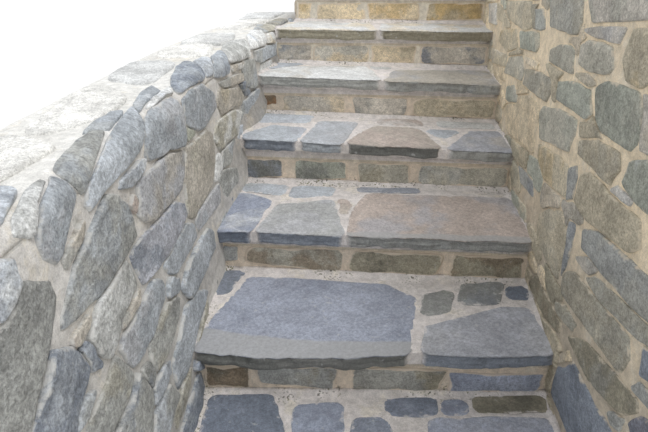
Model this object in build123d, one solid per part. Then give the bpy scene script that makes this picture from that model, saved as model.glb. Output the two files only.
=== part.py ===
from build123d import *
from math import radians, tan
import os

os.makedirs("parts", exist_ok=True)

# Outdoor stone steps between two rubble walls, in millimetres.
# X runs across the flight to the right, Y up the flight and Z up.
# While the pieces are made, X = 0 is the middle of the flight and Y = 0 its first nosing.

# Driving sizes of the flight
clear_width = 1100
nosing_overhang = 28
slab_thickness = 45
slab_arris = 4
slab_corner_radius = 11
least_broken_turn = 25
flag_side_joint = 4
bed_thickness = 18
joint_recess = 5
joint_setback = 9
riser_thickness = 130
landing_depth = 452
landing_inset = 95
rear_facing_thickness = 180

# Driving sizes of the walls
wall_front = -600
wall_lap = 120
left_wall_height = 1050
left_wall_top_width = 330
left_cap_thickness = 50
left_cap_overhang = 8
right_wall_gap = 10
right_wall_height = 1650
right_wall_thickness = 400
right_cap_thickness = 60
right_cap_overhang = 20
cap_joint = 14
cap_arris = 14

# Capping stones from the foot of the flight up: length along the wall, and how far each one's top
# lies below the highest. The lengths are spread over the whole wall.
left_cap_stones = [
    (330, 6), (370, 0), (280, 12), (290, 4), (330, 0), (220, 9),
    (90, 16), (340, 3), (430, 0), (220, 11), (250, 2), (240, 8),
]
right_cap_stones = [(450, 0), (380, 8), (430, 3), (400, 12), (460, 0), (370, 6), (440, 2), (460, 9)]

# Each nosing as it was laid: how far up the flight and how high its left and right ends are.
nosings = [
    {"left_y": -25, "right_y": 35, "left_z": 173, "right_z": 173},
    {"left_y": 380, "right_y": 460, "left_z": 343, "right_z": 342},
    {"left_y": 852, "right_y": 852, "left_z": 513, "right_z": 513},
    {"left_y": 1328, "right_y": 1302, "left_z": 704, "right_z": 681},
    {"left_y": 1725, "right_y": 1712, "left_z": 882, "right_z": 858},
    {"left_y": 2045, "right_y": 2068, "left_z": 1048, "right_z": 1038},
    {"left_y": 2340, "right_y": 2350, "left_z": 1222, "right_z": 1214},
]
step_count = len(nosings)

# The left wall's inner face: place up the flight, and how far in from the left edge of the clear
# width it stands at the ground and at the top. It leans back at the foot of the flight and stands
# upright where it bends inwards.
left_wall_sections = [
    (wall_front, 80, -50),
    (300, 68, -50),
    (700, 25, -50),
    (1150, 7, -48),
    (1550, -6, -28),
    (1950, 5, 5),
    (2200, 50, 50),
    (2400, landing_inset, landing_inset),
]

# Outlines of the flags, seen from above: x across, and distance behind the nosing line.
# They are spread so that the one that reaches furthest right keeps its joint with the right wall.
flags = {
    1: {
        "left_slab": [[(-472, 0), (-222, 3), (-245, 268), (-300, 418), (-474, 400), (-458, 200)]],
        "right_slab": [[(132, 2), (542, 0), (536, 338), (200, 322), (182, 190)]],
        "small_stones": [
            [(-190, 2), (100, 0), (98, 152), (-196, 148)],
            [(-196, 178), (-70, 182), (-78, 378), (-206, 368)],
            [(-40, 186), (78, 184), (62, 322), (-32, 322)],
            [(66, 352), (206, 350), (208, 420), (70, 408)],
            [(234, 352), (296, 358), (302, 408), (240, 400)],
            [(328, 372), (538, 374), (544, 432), (338, 424)],
        ],
    },
    2: {
        "left_slab": [[(-518, 2), (-200, -4), (118, 3), (150, 300), (50, 385), (-436, 430), (-512, 110)]],
        "right_slab": [[(165, 0), (552, 2), (556, 40), (522, 234), (440, 240), (186, 130)]],
        "small_stones": [
            [(172, 200), (260, 226), (282, 350), (194, 318)],
            [(306, 272), (430, 276), (468, 406), (332, 390)],
            [(474, 306), (534, 302), (552, 372), (488, 368)],
            [(-536, 330), (-500, 330), (-470, 482), (-544, 474)],
        ],
    },
    3: {
        "left_slab": [[(-550, 0), (-438, 2), (-412, 284), (-500, 342), (-556, 338)]],
        "right_slab": [[(-78, 0), (240, -5), (544, 0), (546, 372), (-20, 378), (-72, 220)]],
        "small_stones": [
            [(-412, 0), (-106, 3), (-162, 302), (-364, 238)],
            [(-532, 376), (-372, 344), (-362, 440), (-536, 444)],
            [(-112, 150), (-82, 268), (-136, 332)],
            [(-332, 322), (-178, 358), (-168, 430), (-330, 432)],
            [(-52, 404), (180, 408), (176, 450), (-60, 446)],
        ],
    },
    4: {
        "left_slab": [[(-540, 12), (-332, 2), (-312, 198), (-452, 206), (-556, 52)]],
        "right_slab": [[(300, 6), (552, 2), (540, 284), (424, 262)]],
        "small_stones": [
            [(-302, 6), (-142, 12), (-88, 322), (-250, 298)],
            [(-112, 13), (266, 12), (182, 272), (0, 266), (-62, 150)],
            [(222, 256), (292, 146), (366, 252)],
            [(-544, 252), (-312, 284), (-302, 386), (-530, 392)],
            [(24, 316), (214, 320), (198, 394), (26, 390)],
            [(294, 318), (530, 330), (518, 398), (290, 394)],
        ],
    },
    5: {
        "left_slab": [[(-550, 0), (-240, -4), (12, 4), (-62, 298), (-468, 218)]],
        "right_slab": [[(42, 4), (300, -4), (550, 0), (546, 312), (88, 235)]],
        "small_stones": [
            [(-26, 258), (54, 262), (64, 322), (-32, 316)],
            [(-530, 130), (-486, 262), (-332, 320), (-512, 316)],
        ],
    },
    6: {
        "left_slab": [[(-508, 2), (-250, -3), (-12, 4), (-60, 260), (-462, 236)]],
        "right_slab": [[(14, 4), (280, 0), (550, 2), (544, 240), (22, 254)]],
        "small_stones": [
            [(-430, 268), (-236, 276), (-240, 300), (-424, 298)],
            [(90, 276), (330, 268), (334, 292), (92, 296)],
        ],
    },
    7: {
        "left_slab": [[(-482, 0), (-220, -4), (-60, 2), (-92, 240), (-482, 262)]],
        "right_slab": [[(-34, 2), (260, -3), (550, 0), (548, 250), (240, 232), (-62, 262)]],
        "small_stones": [
            [(-482, 290), (-120, 268), (-180, 440), (-482, 440)],
            [(-92, 288), (226, 260), (202, 438), (-150, 440)],
            [(256, 258), (548, 276), (548, 438), (232, 438)],
        ],
    },
}

# Sizes worked out from the driving ones
half_width = clear_width / 2
wall_reach = half_width + wall_lap
right_wall_face = half_width + right_wall_gap
landing_left = landing_inset - half_width
flight_rear = nosings[-1]["left_y"] + landing_depth
drawn_points = [
    point
    for tread in flags.values()
    for piece in tread.values()
    for outline in piece
    for point in outline
]
flags_drawn_to = max(x for x, behind in drawn_points)
flag_spread = (right_wall_face - flag_side_joint) / flags_drawn_to
left_body_height = left_wall_height - left_cap_thickness
right_body_height = right_wall_height - right_cap_thickness
left_wall_sections.append((flight_rear, landing_inset, landing_inset))

# Heights and reach that clear every step, for what is cut to the walls' faces
above_flight = left_wall_height + nosings[-1]["left_z"]
beyond_left_wall = -wall_reach - 2 * left_wall_top_width


def nose_y(step, x):
    """Place of a step's nosing line at x, along the straight line between its two ends."""
    nosing = nosings[step - 1]
    along = (x + half_width) / clear_width
    return nosing["left_y"] + along * (nosing["right_y"] - nosing["left_y"])


def face_y(step, x):
    """Place of a riser's front face at x."""
    return nose_y(step, x) + nosing_overhang


def bed_level(step):
    """Height of the level masonry that carries a step's mortar bed; the ground for step 0."""
    if step == 0:
        return 0
    nosing = nosings[step - 1]
    return min(nosing["left_z"], nosing["right_z"]) - slab_thickness - bed_thickness


def tread_plane(step):
    """The plane of a tread's walking surface, which falls a little to one side."""
    nosing = nosings[step - 1]
    fall = nosing["right_z"] - nosing["left_z"]
    middle_height = (nosing["left_z"] + nosing["right_z"]) / 2
    slope = Vector(clear_width, 0, fall)
    return Plane(origin=(0, 0, middle_height), x_dir=slope, z_dir=Vector(-fall, 0, clear_width))


def prism(outline, low, high):
    """An upright prism over an outline of (x, y) points."""
    face = make_face(Polyline(*outline, close=True))
    return Pos(0, 0, low) * extrude(face, high - low, dir=(0, 0, 1))


def broken_corners(corners):
    """An outline whose sharp corners are broken off where an arc of the corner radius would end."""
    outline = []
    for before, corner, after in zip(corners[-1:] + corners[:-1], corners, corners[1:] + corners[:1]):
        arriving = corner - before
        leaving = after - corner
        turn = arriving.get_angle(leaving)
        if turn < least_broken_turn:
            outline.append(corner)
            continue
        room = min(arriving.length, leaving.length) / 3
        cut = min(slab_corner_radius * tan(radians(turn / 2)), room)
        outline += [corner - arriving.normalized() * cut, corner + leaving.normalized() * cut]
    return outline


def flag_blank(step, outline):
    """A flag with square edges and broken corners, its top in the tread's plane."""
    placed = [(x * flag_spread, behind) for x, behind in outline]
    corners = [Vector(x, nose_y(step, x) + behind) for x, behind in placed]
    face = make_face(Polyline(*broken_corners(corners), close=True))
    return tread_plane(step) * extrude(face, slab_thickness, dir=(0, 0, -1))


def dressed_flag(step, outline):
    """A flag with its walking arris taken off."""
    blank = flag_blank(step, outline)
    top = blank.faces().sort_by(Axis(tread_plane(step).origin, tread_plane(step).z_dir))[-1]
    return chamfer(top.edges(), slab_arris)


def across(step, front_offset, back_line, left=-wall_reach, right=wall_reach):
    """Outline of a strip from a riser's face line, moved back, to another line behind it."""
    return [
        (left, face_y(step, left) + front_offset),
        (right, face_y(step, right) + front_offset),
        (right, back_line(right)),
        (left, back_line(left)),
    ]


def wall_section(section, height, outer):
    """Cross-section of the left wall: leaning inner face and upright outer face at x = outer."""
    y, foot_in, top_in = section
    foot = foot_in - half_width
    lean = foot + (top_in - foot_in) * height / left_wall_height
    corners = [(foot, y, 0), (lean, y, height), (outer, y, height), (outer, y, 0)]
    return make_face(Polyline(*corners, close=True))


def outer_x(top_in):
    """Outer face of the left wall, a fixed width behind the inner edge of its top."""
    return top_in - half_width - left_wall_top_width


def wall_length(first, last):
    """The left wall between two of its sections, with straight rules from one to the next."""
    sections = left_wall_sections[first:last + 1]
    faces = [wall_section(section, left_body_height, outer_x(section[2])) for section in sections]
    return loft(faces, ruled=True)


def left_of_face(first, last):
    """All that lies to the left of the wall's inner face, carried on upwards at the same lean."""
    sections = left_wall_sections[first:last + 1]
    faces = [wall_section(section, above_flight, beyond_left_wall) for section in sections]
    return loft(faces, ruled=True)


def left_top_in(y):
    """How far in the left wall's top stands at y, between the sections on either side of it."""
    for (y0, foot0, top0), (y1, foot1, top1) in zip(left_wall_sections, left_wall_sections[1:]):
        if y <= y1:
            break
    return top0 + (top1 - top0) * (y - y0) / (y1 - y0)


def row_of_caps(stones, inner, outer, low, high):
    """Uneven capping stones along a wall, with open joints between them and broken upper edges."""
    run = flight_rear - wall_front + cap_joint
    drawn_run = sum(length for length, drop in stones)
    row = []
    start = wall_front
    for length, drop in stones:
        pitch = length * run / drawn_run
        end = start + pitch - cap_joint
        outline = [(inner(start), start), (inner(end), end), (outer(end), end), (outer(start), start)]
        stone = prism(outline, low, high - drop)
        top = stone.faces().sort_by(Axis.Z)[-1]
        row.append(chamfer(top.edges(), cap_arris))
        start += pitch
    return row


nodes = {}

# The left wall, in parts that follow its bend, and the straight right wall.
# Each part runs from one numbered section to another.
left_wall_parts = {
    "left_wall_lower": (0, 2),
    "left_wall_middle": (2, 4),
    "left_wall_bend": (4, 7),
    "left_wall_end": (7, 8),
}
for name, (first, last) in left_wall_parts.items():
    nodes[name] = [wall_length(first, last)]
right_wall_back = right_wall_face + right_wall_thickness
right_outline = [
    (right_wall_face, wall_front),
    (right_wall_back, wall_front),
    (right_wall_back, flight_rear),
    (right_wall_face, flight_rear),
]
nodes["right_wall"] = [prism(right_outline, 0, right_body_height)]

# Capping stones
nodes["left_wall_capstones"] = row_of_caps(
    left_cap_stones,
    lambda y: left_top_in(y) - half_width + left_cap_overhang,
    lambda y: outer_x(left_top_in(y)) - left_cap_overhang,
    left_body_height,
    left_wall_height,
)
nodes["right_wall_capstones"] = row_of_caps(
    right_cap_stones,
    lambda y: right_wall_face - right_cap_overhang,
    lambda y: right_wall_back + right_cap_overhang,
    right_body_height,
    right_wall_height,
)


limits = [left_of_face(first, last) for first, last in left_wall_parts.values()]
limits += nodes["right_wall"] + nodes["left_wall_capstones"]


def between_walls(solid):
    """What is left of a solid between the faces of the two walls and the left one's capping."""
    for limit in limits:
        if solid.bounding_box().overlaps(limit.bounding_box()):
            solid -= limit
    return solid


# Risers, each built on the level masonry behind the tread below it
for step in range(1, step_count + 1):
    left = landing_left if step == step_count else -wall_reach
    outline = across(step, 0, lambda x: face_y(step, x) + riser_thickness, left)
    riser = prism(outline, bed_level(step - 1), bed_level(step))
    nodes[f"riser_{step}"] = [between_walls(riser)]

# The masonry that closes the landing at the back and on its open left side
rear_front = flight_rear - rear_facing_thickness
rear_outline = [
    (landing_left, rear_front),
    (wall_reach, rear_front),
    (wall_reach, flight_rear),
    (landing_left, flight_rear),
]
nodes["rear_facing"] = [between_walls(prism(rear_outline, 0, bed_level(step_count)))]
cheek_right = landing_left + riser_thickness
cheek_outline = [
    (landing_left, face_y(step_count, landing_left) + riser_thickness),
    (cheek_right, face_y(step_count, cheek_right) + riser_thickness),
    (cheek_right, rear_front),
    (landing_left, rear_front),
]
cheek = prism(cheek_outline, bed_level(step_count - 1), bed_level(step_count))
nodes["landing_cheek"] = [between_walls(cheek)]

# The rubble core, one level block behind each riser
core = None
for step in range(1, step_count + 1):
    left = cheek_right if step == step_count else -wall_reach
    outline = across(step, riser_thickness, lambda x: rear_front, left)
    block = prism(outline, bed_level(step - 1), bed_level(step))
    core = block if core is None else core + block
nodes["rubble_core"] = [between_walls(core)]


def behind_tread(step):
    """The line where a tread's bed ends: the next riser's face, or the rear of the landing."""
    if step == step_count:
        return lambda x: flight_rear
    return lambda x: face_y(step + 1, x)


# Flags, and the mortar bed that each tread's flags are pressed into
for step in range(1, step_count + 1):
    pockets = []
    for piece, outlines in flags[step].items():
        nodes[f"tread_{step}_{piece}"] = [dressed_flag(step, outline) for outline in outlines]
        pockets += [flag_blank(step, outline) for outline in outlines]
    left = landing_left if step == step_count else -wall_reach
    seat_plan = across(step, 0, behind_tread(step), left)
    joint_plan = across(step, joint_setback - nosing_overhang, behind_tread(step), left)
    tread = tread_plane(step)
    seat = prism(seat_plan, bed_level(step), above_flight)
    seat = split(seat, tread.offset(-slab_thickness), keep=Keep.BOTTOM)
    joints = prism(joint_plan, bed_level(step), above_flight)
    joints = split(joints, tread.offset(-joint_recess), keep=Keep.BOTTOM)
    joints = split(joints, tread.offset(-slab_thickness), keep=Keep.TOP)
    bed = between_walls((seat + joints) - pockets)
    nodes[f"tread_{step}_bed"] = [bed]

# The origin is the middle of the footprint, at ground level.
footprint = Compound([solid for solids in nodes.values() for part in solids for solid in part.solids()])
box = footprint.bounding_box()
to_origin = Pos(-(box.min.X + box.max.X) / 2, -(box.min.Y + box.max.Y) / 2, -box.min.Z)

for name, parts in nodes.items():
    solids = [solid for part in parts for solid in part.solids()]
    export_step(to_origin * Compound(solids), f"parts/{name}.step")
print(len(nodes), "nodes,", round(box.size.X), "x", round(box.size.Y), "x", round(box.size.Z), "mm")
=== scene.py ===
import math

import bpy
import numpy as np
from mathutils import Matrix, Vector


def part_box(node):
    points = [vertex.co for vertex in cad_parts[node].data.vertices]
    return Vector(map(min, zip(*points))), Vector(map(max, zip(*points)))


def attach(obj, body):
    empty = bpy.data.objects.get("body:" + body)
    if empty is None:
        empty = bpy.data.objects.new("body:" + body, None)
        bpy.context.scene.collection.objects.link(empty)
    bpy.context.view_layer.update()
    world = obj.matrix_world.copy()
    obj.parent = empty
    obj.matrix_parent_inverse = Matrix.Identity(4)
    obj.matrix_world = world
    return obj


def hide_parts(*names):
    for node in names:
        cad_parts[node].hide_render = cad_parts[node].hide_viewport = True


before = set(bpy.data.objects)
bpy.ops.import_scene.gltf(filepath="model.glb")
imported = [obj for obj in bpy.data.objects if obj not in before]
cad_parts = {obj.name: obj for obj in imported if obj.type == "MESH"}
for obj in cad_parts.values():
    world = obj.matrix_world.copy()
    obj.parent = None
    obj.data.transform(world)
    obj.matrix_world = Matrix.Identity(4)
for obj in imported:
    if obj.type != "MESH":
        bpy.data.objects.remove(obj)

# Outdoor stone steps between two rubble walls. Metres throughout, Z up, the flight climbs along +Y.
scene = bpy.context.scene
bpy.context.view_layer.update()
print("frame loaded:", len(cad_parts), "nodes")

# The middle of the flight and its first nosing, from which the places below are written
fromRightWall = {"middle": 0.560, "firstNosing": 0.600}
rightLow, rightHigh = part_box("right_wall")
middleX = rightLow.x - fromRightWall["middle"]
nosingY = rightLow.y + fromRightWall["firstNosing"]
wallStartY = rightLow.y
wallRun = rightHigh.y - rightLow.y
stepCount = sum(name.startswith("riser_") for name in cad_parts)

# Stone and mortar tones, as red, green and blue from 0 to 255
tones = {
    "slate": (122, 128, 137), "blueGrey": (150, 155, 160), "paleBlue": (168, 173, 179),
    "pale": (192, 193, 192), "grey": (148, 149, 146), "darkGrey": (106, 107, 104),
    "warmGrey": (168, 163, 154), "greenGrey": (142, 144, 134), "olive": (137, 132, 117),
    "oliveGrey": (152, 149, 138), "khaki": (164, 156, 138), "tan": (182, 169, 146),
    "paleTan": (198, 184, 158), "ochre": (170, 150, 112), "rust": (140, 108, 80),
    "brown": (118, 106, 90), "purple": (132, 129, 137), "lavender": (156, 158, 165),
    "pinkBrown": (168, 157, 150), "silver": (164, 165, 168), "darkBlue": (100, 107, 118),
    "bark": (96, 94, 84), "chalk": (205, 204, 200), "stoneGrey": (134, 135, 133),
    "duskBlue": (112, 119, 131), "flagBlue": (136, 142, 156), "flagPale": (150, 155, 168),
    "wornStrip": (173, 173, 173), "moss": (112, 112, 72), "cream": (232, 224, 208),
    "leftMortar": (224, 221, 217), "rightMortar": (242, 225, 196), "treadMortar": (226, 220, 217),
    # leftShadedMortar and rightShadedMortar are the mortar tones used near the ground, painted darker as
    # shade
    "riserMortar": (228, 213, 194), "leftShadedMortar": (196, 194, 190), "rightShadedMortar": (192, 181, 164),
    "leftPlain": (207, 206, 202), "rightPlain": (216, 204, 184),
}


def linear(name):
    # A tone as linear light, the inverse of the screen's curve
    value = np.array(tones[name]) / 255
    return np.where(value <= 0.04045, value / 12.92, ((value + 0.055) / 1.055) ** 2.4)


# Noise, grids and meshes

def latticeNoise(points, cell, seed):
    # Each corner of a lattice with spacing `cell` has a hashed value from -1 to 1, and the value at a
    # point is the mean of its eight corners, weighted by 3t^2 - 2t^3 along each axis.
    scaled = points / cell
    base = np.floor(scaled).astype(np.int64)
    part = scaled - base
    part = part * part * (3 - 2 * part)
    total = np.zeros(points.shape[:-1])
    for corner in np.ndindex(2, 2, 2):
        key = base + corner
        code = key[..., 0] * 73856093 ^ key[..., 1] * 19349663 ^ key[..., 2] * 83492791 ^ (seed * 7919 + 101)
        code = (code ^ (code >> 13)) * 1274126177 & 0x7FFFFFFF
        value = ((code ^ (code >> 15)) & 0xFFFF) / 32767.5 - 1
        weight = np.prod(np.where(corner, part, 1 - part), axis=-1)
        total += value * weight
    return total


def roughNoise(points, cell, seed, octaves=3):
    # Sum of noises, each with half the spacing and half the height of the one before
    total = sum(latticeNoise(points, cell / 2 ** k, seed + 17 * k) / 2 ** k for k in range(octaves))
    return total / (2 - 0.5 ** (octaves - 1))


def stepUp(low, high, value):
    # 0 below low, 1 above high and 3t^2 - 2t^3 between
    part = np.clip((value - low) / (high - low), 0, 1)
    return part * part * (3 - 2 * part)


made = {"pieces": 0, "triangles": 0, "largest": 0}      # counted as the pieces are finished


class Shell:
    # Collects closed grids that become one mesh, with a value of each attribute at every point

    def __init__(self):
        self.points, self.quads, self.triangles, self.attributes = [], [], [], {}
        self.count = 0

    def add(self, points, quads, triangles, values):
        self.points.append(points)
        self.quads.append(quads + self.count)
        self.triangles.append(triangles + self.count)
        for name, array in values.items():
            self.attributes.setdefault(name, []).append(array)
        self.count += len(points)

    def addRound(self, grid, values):
        # A grid of rows and columns, closed round its columns, whose first and last rows each close
        # on the mean of their own points.
        rows, columns = grid.shape[:2]
        index = np.arange(rows * columns).reshape(rows, columns)
        following = np.roll(index, -1, axis=1)
        quads = np.stack([index[:-1], index[1:], following[1:], following[:-1]], -1).reshape(-1, 4)
        firstPole, lastPole = rows * columns, rows * columns + 1
        first = np.stack([np.full(columns, firstPole), index[0], following[0]], -1)
        last = np.stack([np.full(columns, lastPole), following[-1], index[-1]], -1)
        points = np.concatenate([grid.reshape(-1, 3), grid[:1].mean(1), grid[-1:].mean(1)])
        spread = {}
        for name, array in values.items():
            flat = array.reshape(rows * columns, -1)
            ends = np.stack([array[0].reshape(columns, -1).mean(0), array[-1].reshape(columns, -1).mean(0)])
            spread[name] = np.concatenate([flat, ends])
        self.add(points, quads, np.concatenate([first, last]), spread)

    def addSheet(self, grid, inward, values):
        # An open grid closed behind by a rim moved by the vector `inward` and a fan on its middle
        rows, columns = grid.shape[:2]
        index = np.arange(rows * columns).reshape(rows, columns)
        quads = np.stack([index[:-1, :-1], index[1:, :-1], index[1:, 1:], index[:-1, 1:]], -1).reshape(-1, 4)
        rim = np.concatenate([index[0, :-1], index[:-1, -1], index[-1, :0:-1], index[:0:-1, 0]])
        flat = grid.reshape(-1, 3)
        back = flat[rim] + inward
        backIndex = rows * columns + np.arange(len(rim))
        nextRim, nextBack = np.roll(rim, -1), np.roll(backIndex, -1)
        sides = np.stack([rim, nextRim, nextBack, backIndex], -1)
        middle = np.full(len(rim), rows * columns + len(rim))
        fan = np.stack([middle, backIndex, nextBack], -1)
        points = np.concatenate([flat, back, back.mean(0, keepdims=True)])
        spread = {}
        for name, array in values.items():
            front = array.reshape(rows * columns, -1)
            behind = front[rim]
            spread[name] = np.concatenate([front, behind, behind.mean(0, keepdims=True)])
        self.add(points, np.concatenate([quads, sides]), fan, spread)

    def finish(self, name, material, slot, replaced=()):
        points = np.concatenate(self.points)
        quads, triangles = np.concatenate(self.quads), np.concatenate(self.triangles)
        split = np.concatenate([triangles, quads[:, [0, 1, 2]], quads[:, [0, 2, 3]]])
        a, b, c = (points[split[:, k]] for k in range(3))
        if np.einsum("ij,ij->i", a, np.cross(b, c)).sum() < 0:      # the volume inside has to be positive
            quads, triangles = quads[:, ::-1], triangles[:, ::-1]
        mesh = bpy.data.meshes.new(name)
        mesh.from_pydata(points.tolist(), [], quads.tolist() + triangles.tolist())
        kinds = {1: ("FLOAT", "value"), 3: ("FLOAT_VECTOR", "vector")}
        for key, arrays in self.attributes.items():
            data = np.concatenate(arrays).astype(np.float32)
            kind, field = kinds[data.shape[1]]
            layer = mesh.attributes.new(key, kind, "POINT")
            layer.data.foreach_set(field, data.ravel())
        mesh.materials.append(material)
        mesh.shade_smooth()
        piece = bpy.data.objects.new(name, mesh)
        scene.collection.objects.link(piece)
        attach(piece, "root")
        if replaced:
            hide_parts(*replaced)
        made["pieces"] += 1
        made["triangles"] += len(split)
        made["largest"] = max(made["largest"], len(split))


def nodeMesh(name):
    # Points and triangles of a CAD node
    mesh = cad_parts[name].data
    points = np.zeros(len(mesh.vertices) * 3)
    mesh.vertices.foreach_get("co", points)
    mesh.calc_loop_triangles()
    triangles = np.zeros(len(mesh.loop_triangles) * 3, dtype=np.int64)
    mesh.loop_triangles.foreach_get("vertices", triangles)
    return points.reshape(-1, 3), triangles.reshape(-1, 3)


# Materials

def startMaterial(name):
    material = bpy.data.materials.new(name)
    material.use_nodes = True
    return material, material.node_tree.nodes, material.node_tree.links


def noiseNode(tree, vector, scale, detail=4, roughness=0.6, distortion=0.0):
    nodes, links = tree
    node = nodes.new("ShaderNodeTexNoise")
    node.inputs["Scale"].default_value = scale
    node.inputs["Detail"].default_value = detail
    node.inputs["Roughness"].default_value = roughness
    node.inputs["Distortion"].default_value = distortion
    links.new(vector, node.inputs["Vector"])
    return node.outputs["Fac"]


def stretchNode(tree, vector, scale):
    nodes, links = tree
    node = nodes.new("ShaderNodeMapping")
    node.inputs["Scale"].default_value = scale
    links.new(vector, node.inputs["Vector"])
    return node.outputs["Vector"]


def rangeNode(tree, value, low, high, toLow, toHigh):
    nodes, links = tree
    node = nodes.new("ShaderNodeMapRange")
    node.interpolation_type = "SMOOTHSTEP"
    for key, number in (("From Min", low), ("From Max", high), ("To Min", toLow), ("To Max", toHigh)):
        node.inputs[key].default_value = number
    links.new(value, node.inputs["Value"])
    return node.outputs["Result"]


def mathNode(tree, operation, first, second):
    nodes, links = tree
    node = nodes.new("ShaderNodeMath")
    node.operation = operation
    for socket, value in zip(node.inputs, (first, second)):
        if isinstance(value, (int, float)):
            socket.default_value = value
        else:
            links.new(value, socket)
    return node.outputs["Value"]


def mixNode(tree, factor, first, second):
    nodes, links = tree
    node = nodes.new("ShaderNodeMix")
    node.data_type = "RGBA"
    sockets = {socket.identifier: socket for socket in node.inputs}
    for key, value in (("Factor_Float", factor), ("A_Color", first), ("B_Color", second)):
        socket = sockets[key]
        if isinstance(value, (int, float)):
            socket.default_value = value
        elif isinstance(value, str):
            socket.default_value = (*linear(value), 1)
        else:
            links.new(value, socket)
    outputs = {socket.identifier: socket for socket in node.outputs}
    return outputs["Result_Color"]


def attributeNode(tree, name):
    nodes, _ = tree
    node = nodes.new("ShaderNodeAttribute")
    node.attribute_name = name
    return node.outputs


def scaleColour(tree, colour, factor):
    # A colour made lighter or darker by a number near 1
    nodes, links = tree
    node = nodes.new("ShaderNodeVectorMath")
    node.operation = "SCALE"
    links.new(colour, node.inputs[0])
    links.new(factor, node.inputs["Scale"])
    return node.outputs["Vector"]


def finishMaterial(material, tree, colour, roughness, heights):
    # heights are (value, how far it lifts the surface in metres)
    nodes, links = tree
    shader = nodes["Principled BSDF"]
    links.new(colour, shader.inputs["Base Color"])
    links.new(roughness, shader.inputs["Roughness"])
    shader.inputs["Specular IOR Level"].default_value = 0.3
    normal = None
    for value, distance in heights:
        bump = nodes.new("ShaderNodeBump")
        bump.inputs["Distance"].default_value = distance
        bump.inputs["Strength"].default_value = 1.0
        links.new(value, bump.inputs["Height"])
        if normal:
            links.new(normal, bump.inputs["Normal"])
        normal = bump.outputs["Normal"]
    links.new(normal, shader.inputs["Normal"])
    return material


noiseSpread = (0.32, 0.68)      # most of a noise's values lie between these


def stoneMaterial(name, look):
    # Split stone. Every piece carries tone and patch, the two colours of each stone, bedding, the
    # stone's own coordinates with x along its bed, and rim, which is 1 at its edge.
    material, nodes, links = startMaterial(name)
    tree = (nodes, links)
    bedding = attributeNode(tree, "bedding")["Vector"]
    tone = attributeNode(tree, "tone")["Vector"]
    patch = attributeNode(tree, "patch")["Vector"]
    rim = attributeNode(tree, "rim")["Fac"]
    cloud = noiseNode(tree, bedding, look["cloudScale"], 5, 0.6)
    stretched = stretchNode(tree, bedding, look["streakStretch"])
    streaks = noiseNode(tree, stretched, look["streakScale"], 5, 0.65, 0.4)
    grain = noiseNode(tree, bedding, look["grainScale"], 3, 0.75)
    pits = noiseNode(tree, bedding, look["pitScale"], 4, 0.7)
    blots = noiseNode(tree, bedding, look["patchScale"], 5, 0.6, 0.3)
    smear = noiseNode(tree, bedding, look["smearScale"], 5, 0.65, 0.2)
    colour = mixNode(tree, rangeNode(tree, blots, *look["patchEdge"], 0, look["patchShare"]), tone, patch)
    shades = ((cloud, "cloudDepth"), (streaks, "streakDepth"), (pits, "pitDepth"), (grain, "grainDepth"))
    for value, depth in shades:
        colour = scaleColour(tree, colour, rangeNode(tree, value, *noiseSpread, *look[depth]))
    if "stripTone" in look:
        # strip is the distance in metres in front of the line where a flag's worn strip begins
        ragged = mathNode(tree, "MULTIPLY", blots, look["stripRagged"])
        ragged = mathNode(tree, "ADD", attributeNode(tree, "strip")["Fac"], ragged)
        worn = rangeNode(tree, ragged, *look["stripEdge"], 0, look["stripShare"])
        colour = mixNode(tree, worn, colour, look["stripTone"])
        colour = scaleColour(tree, colour, rangeNode(tree, pits, *noiseSpread, *look["stripDepth"]))
    flecks = noiseNode(tree, bedding, look["fleckScale"], 2, 0.5)
    flecks = rangeNode(tree, flecks, *look["fleckEdge"], 0, look["fleckShare"])
    colour = mixNode(tree, flecks, colour, look["fleckTone"])
    smeared = mathNode(tree, "ADD", mathNode(tree, "MULTIPLY", rim, look["smearReach"]), smear)
    smearEnd = look["smearStart"] + look["smearWidth"]
    smeared = rangeNode(tree, smeared, look["smearStart"], smearEnd, 0, look["smearShare"])
    colour = mixNode(tree, smeared, colour, look["smearTone"])
    roughness = rangeNode(tree, streaks, 0.3, 0.7, *look["roughness"])
    heights = [(cloud, look["cloudLift"]), (streaks, look["streakLift"]), (pits, look["pitLift"]),
               (grain, look["grainLift"])]
    return finishMaterial(material, tree, colour, roughness, heights)


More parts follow.
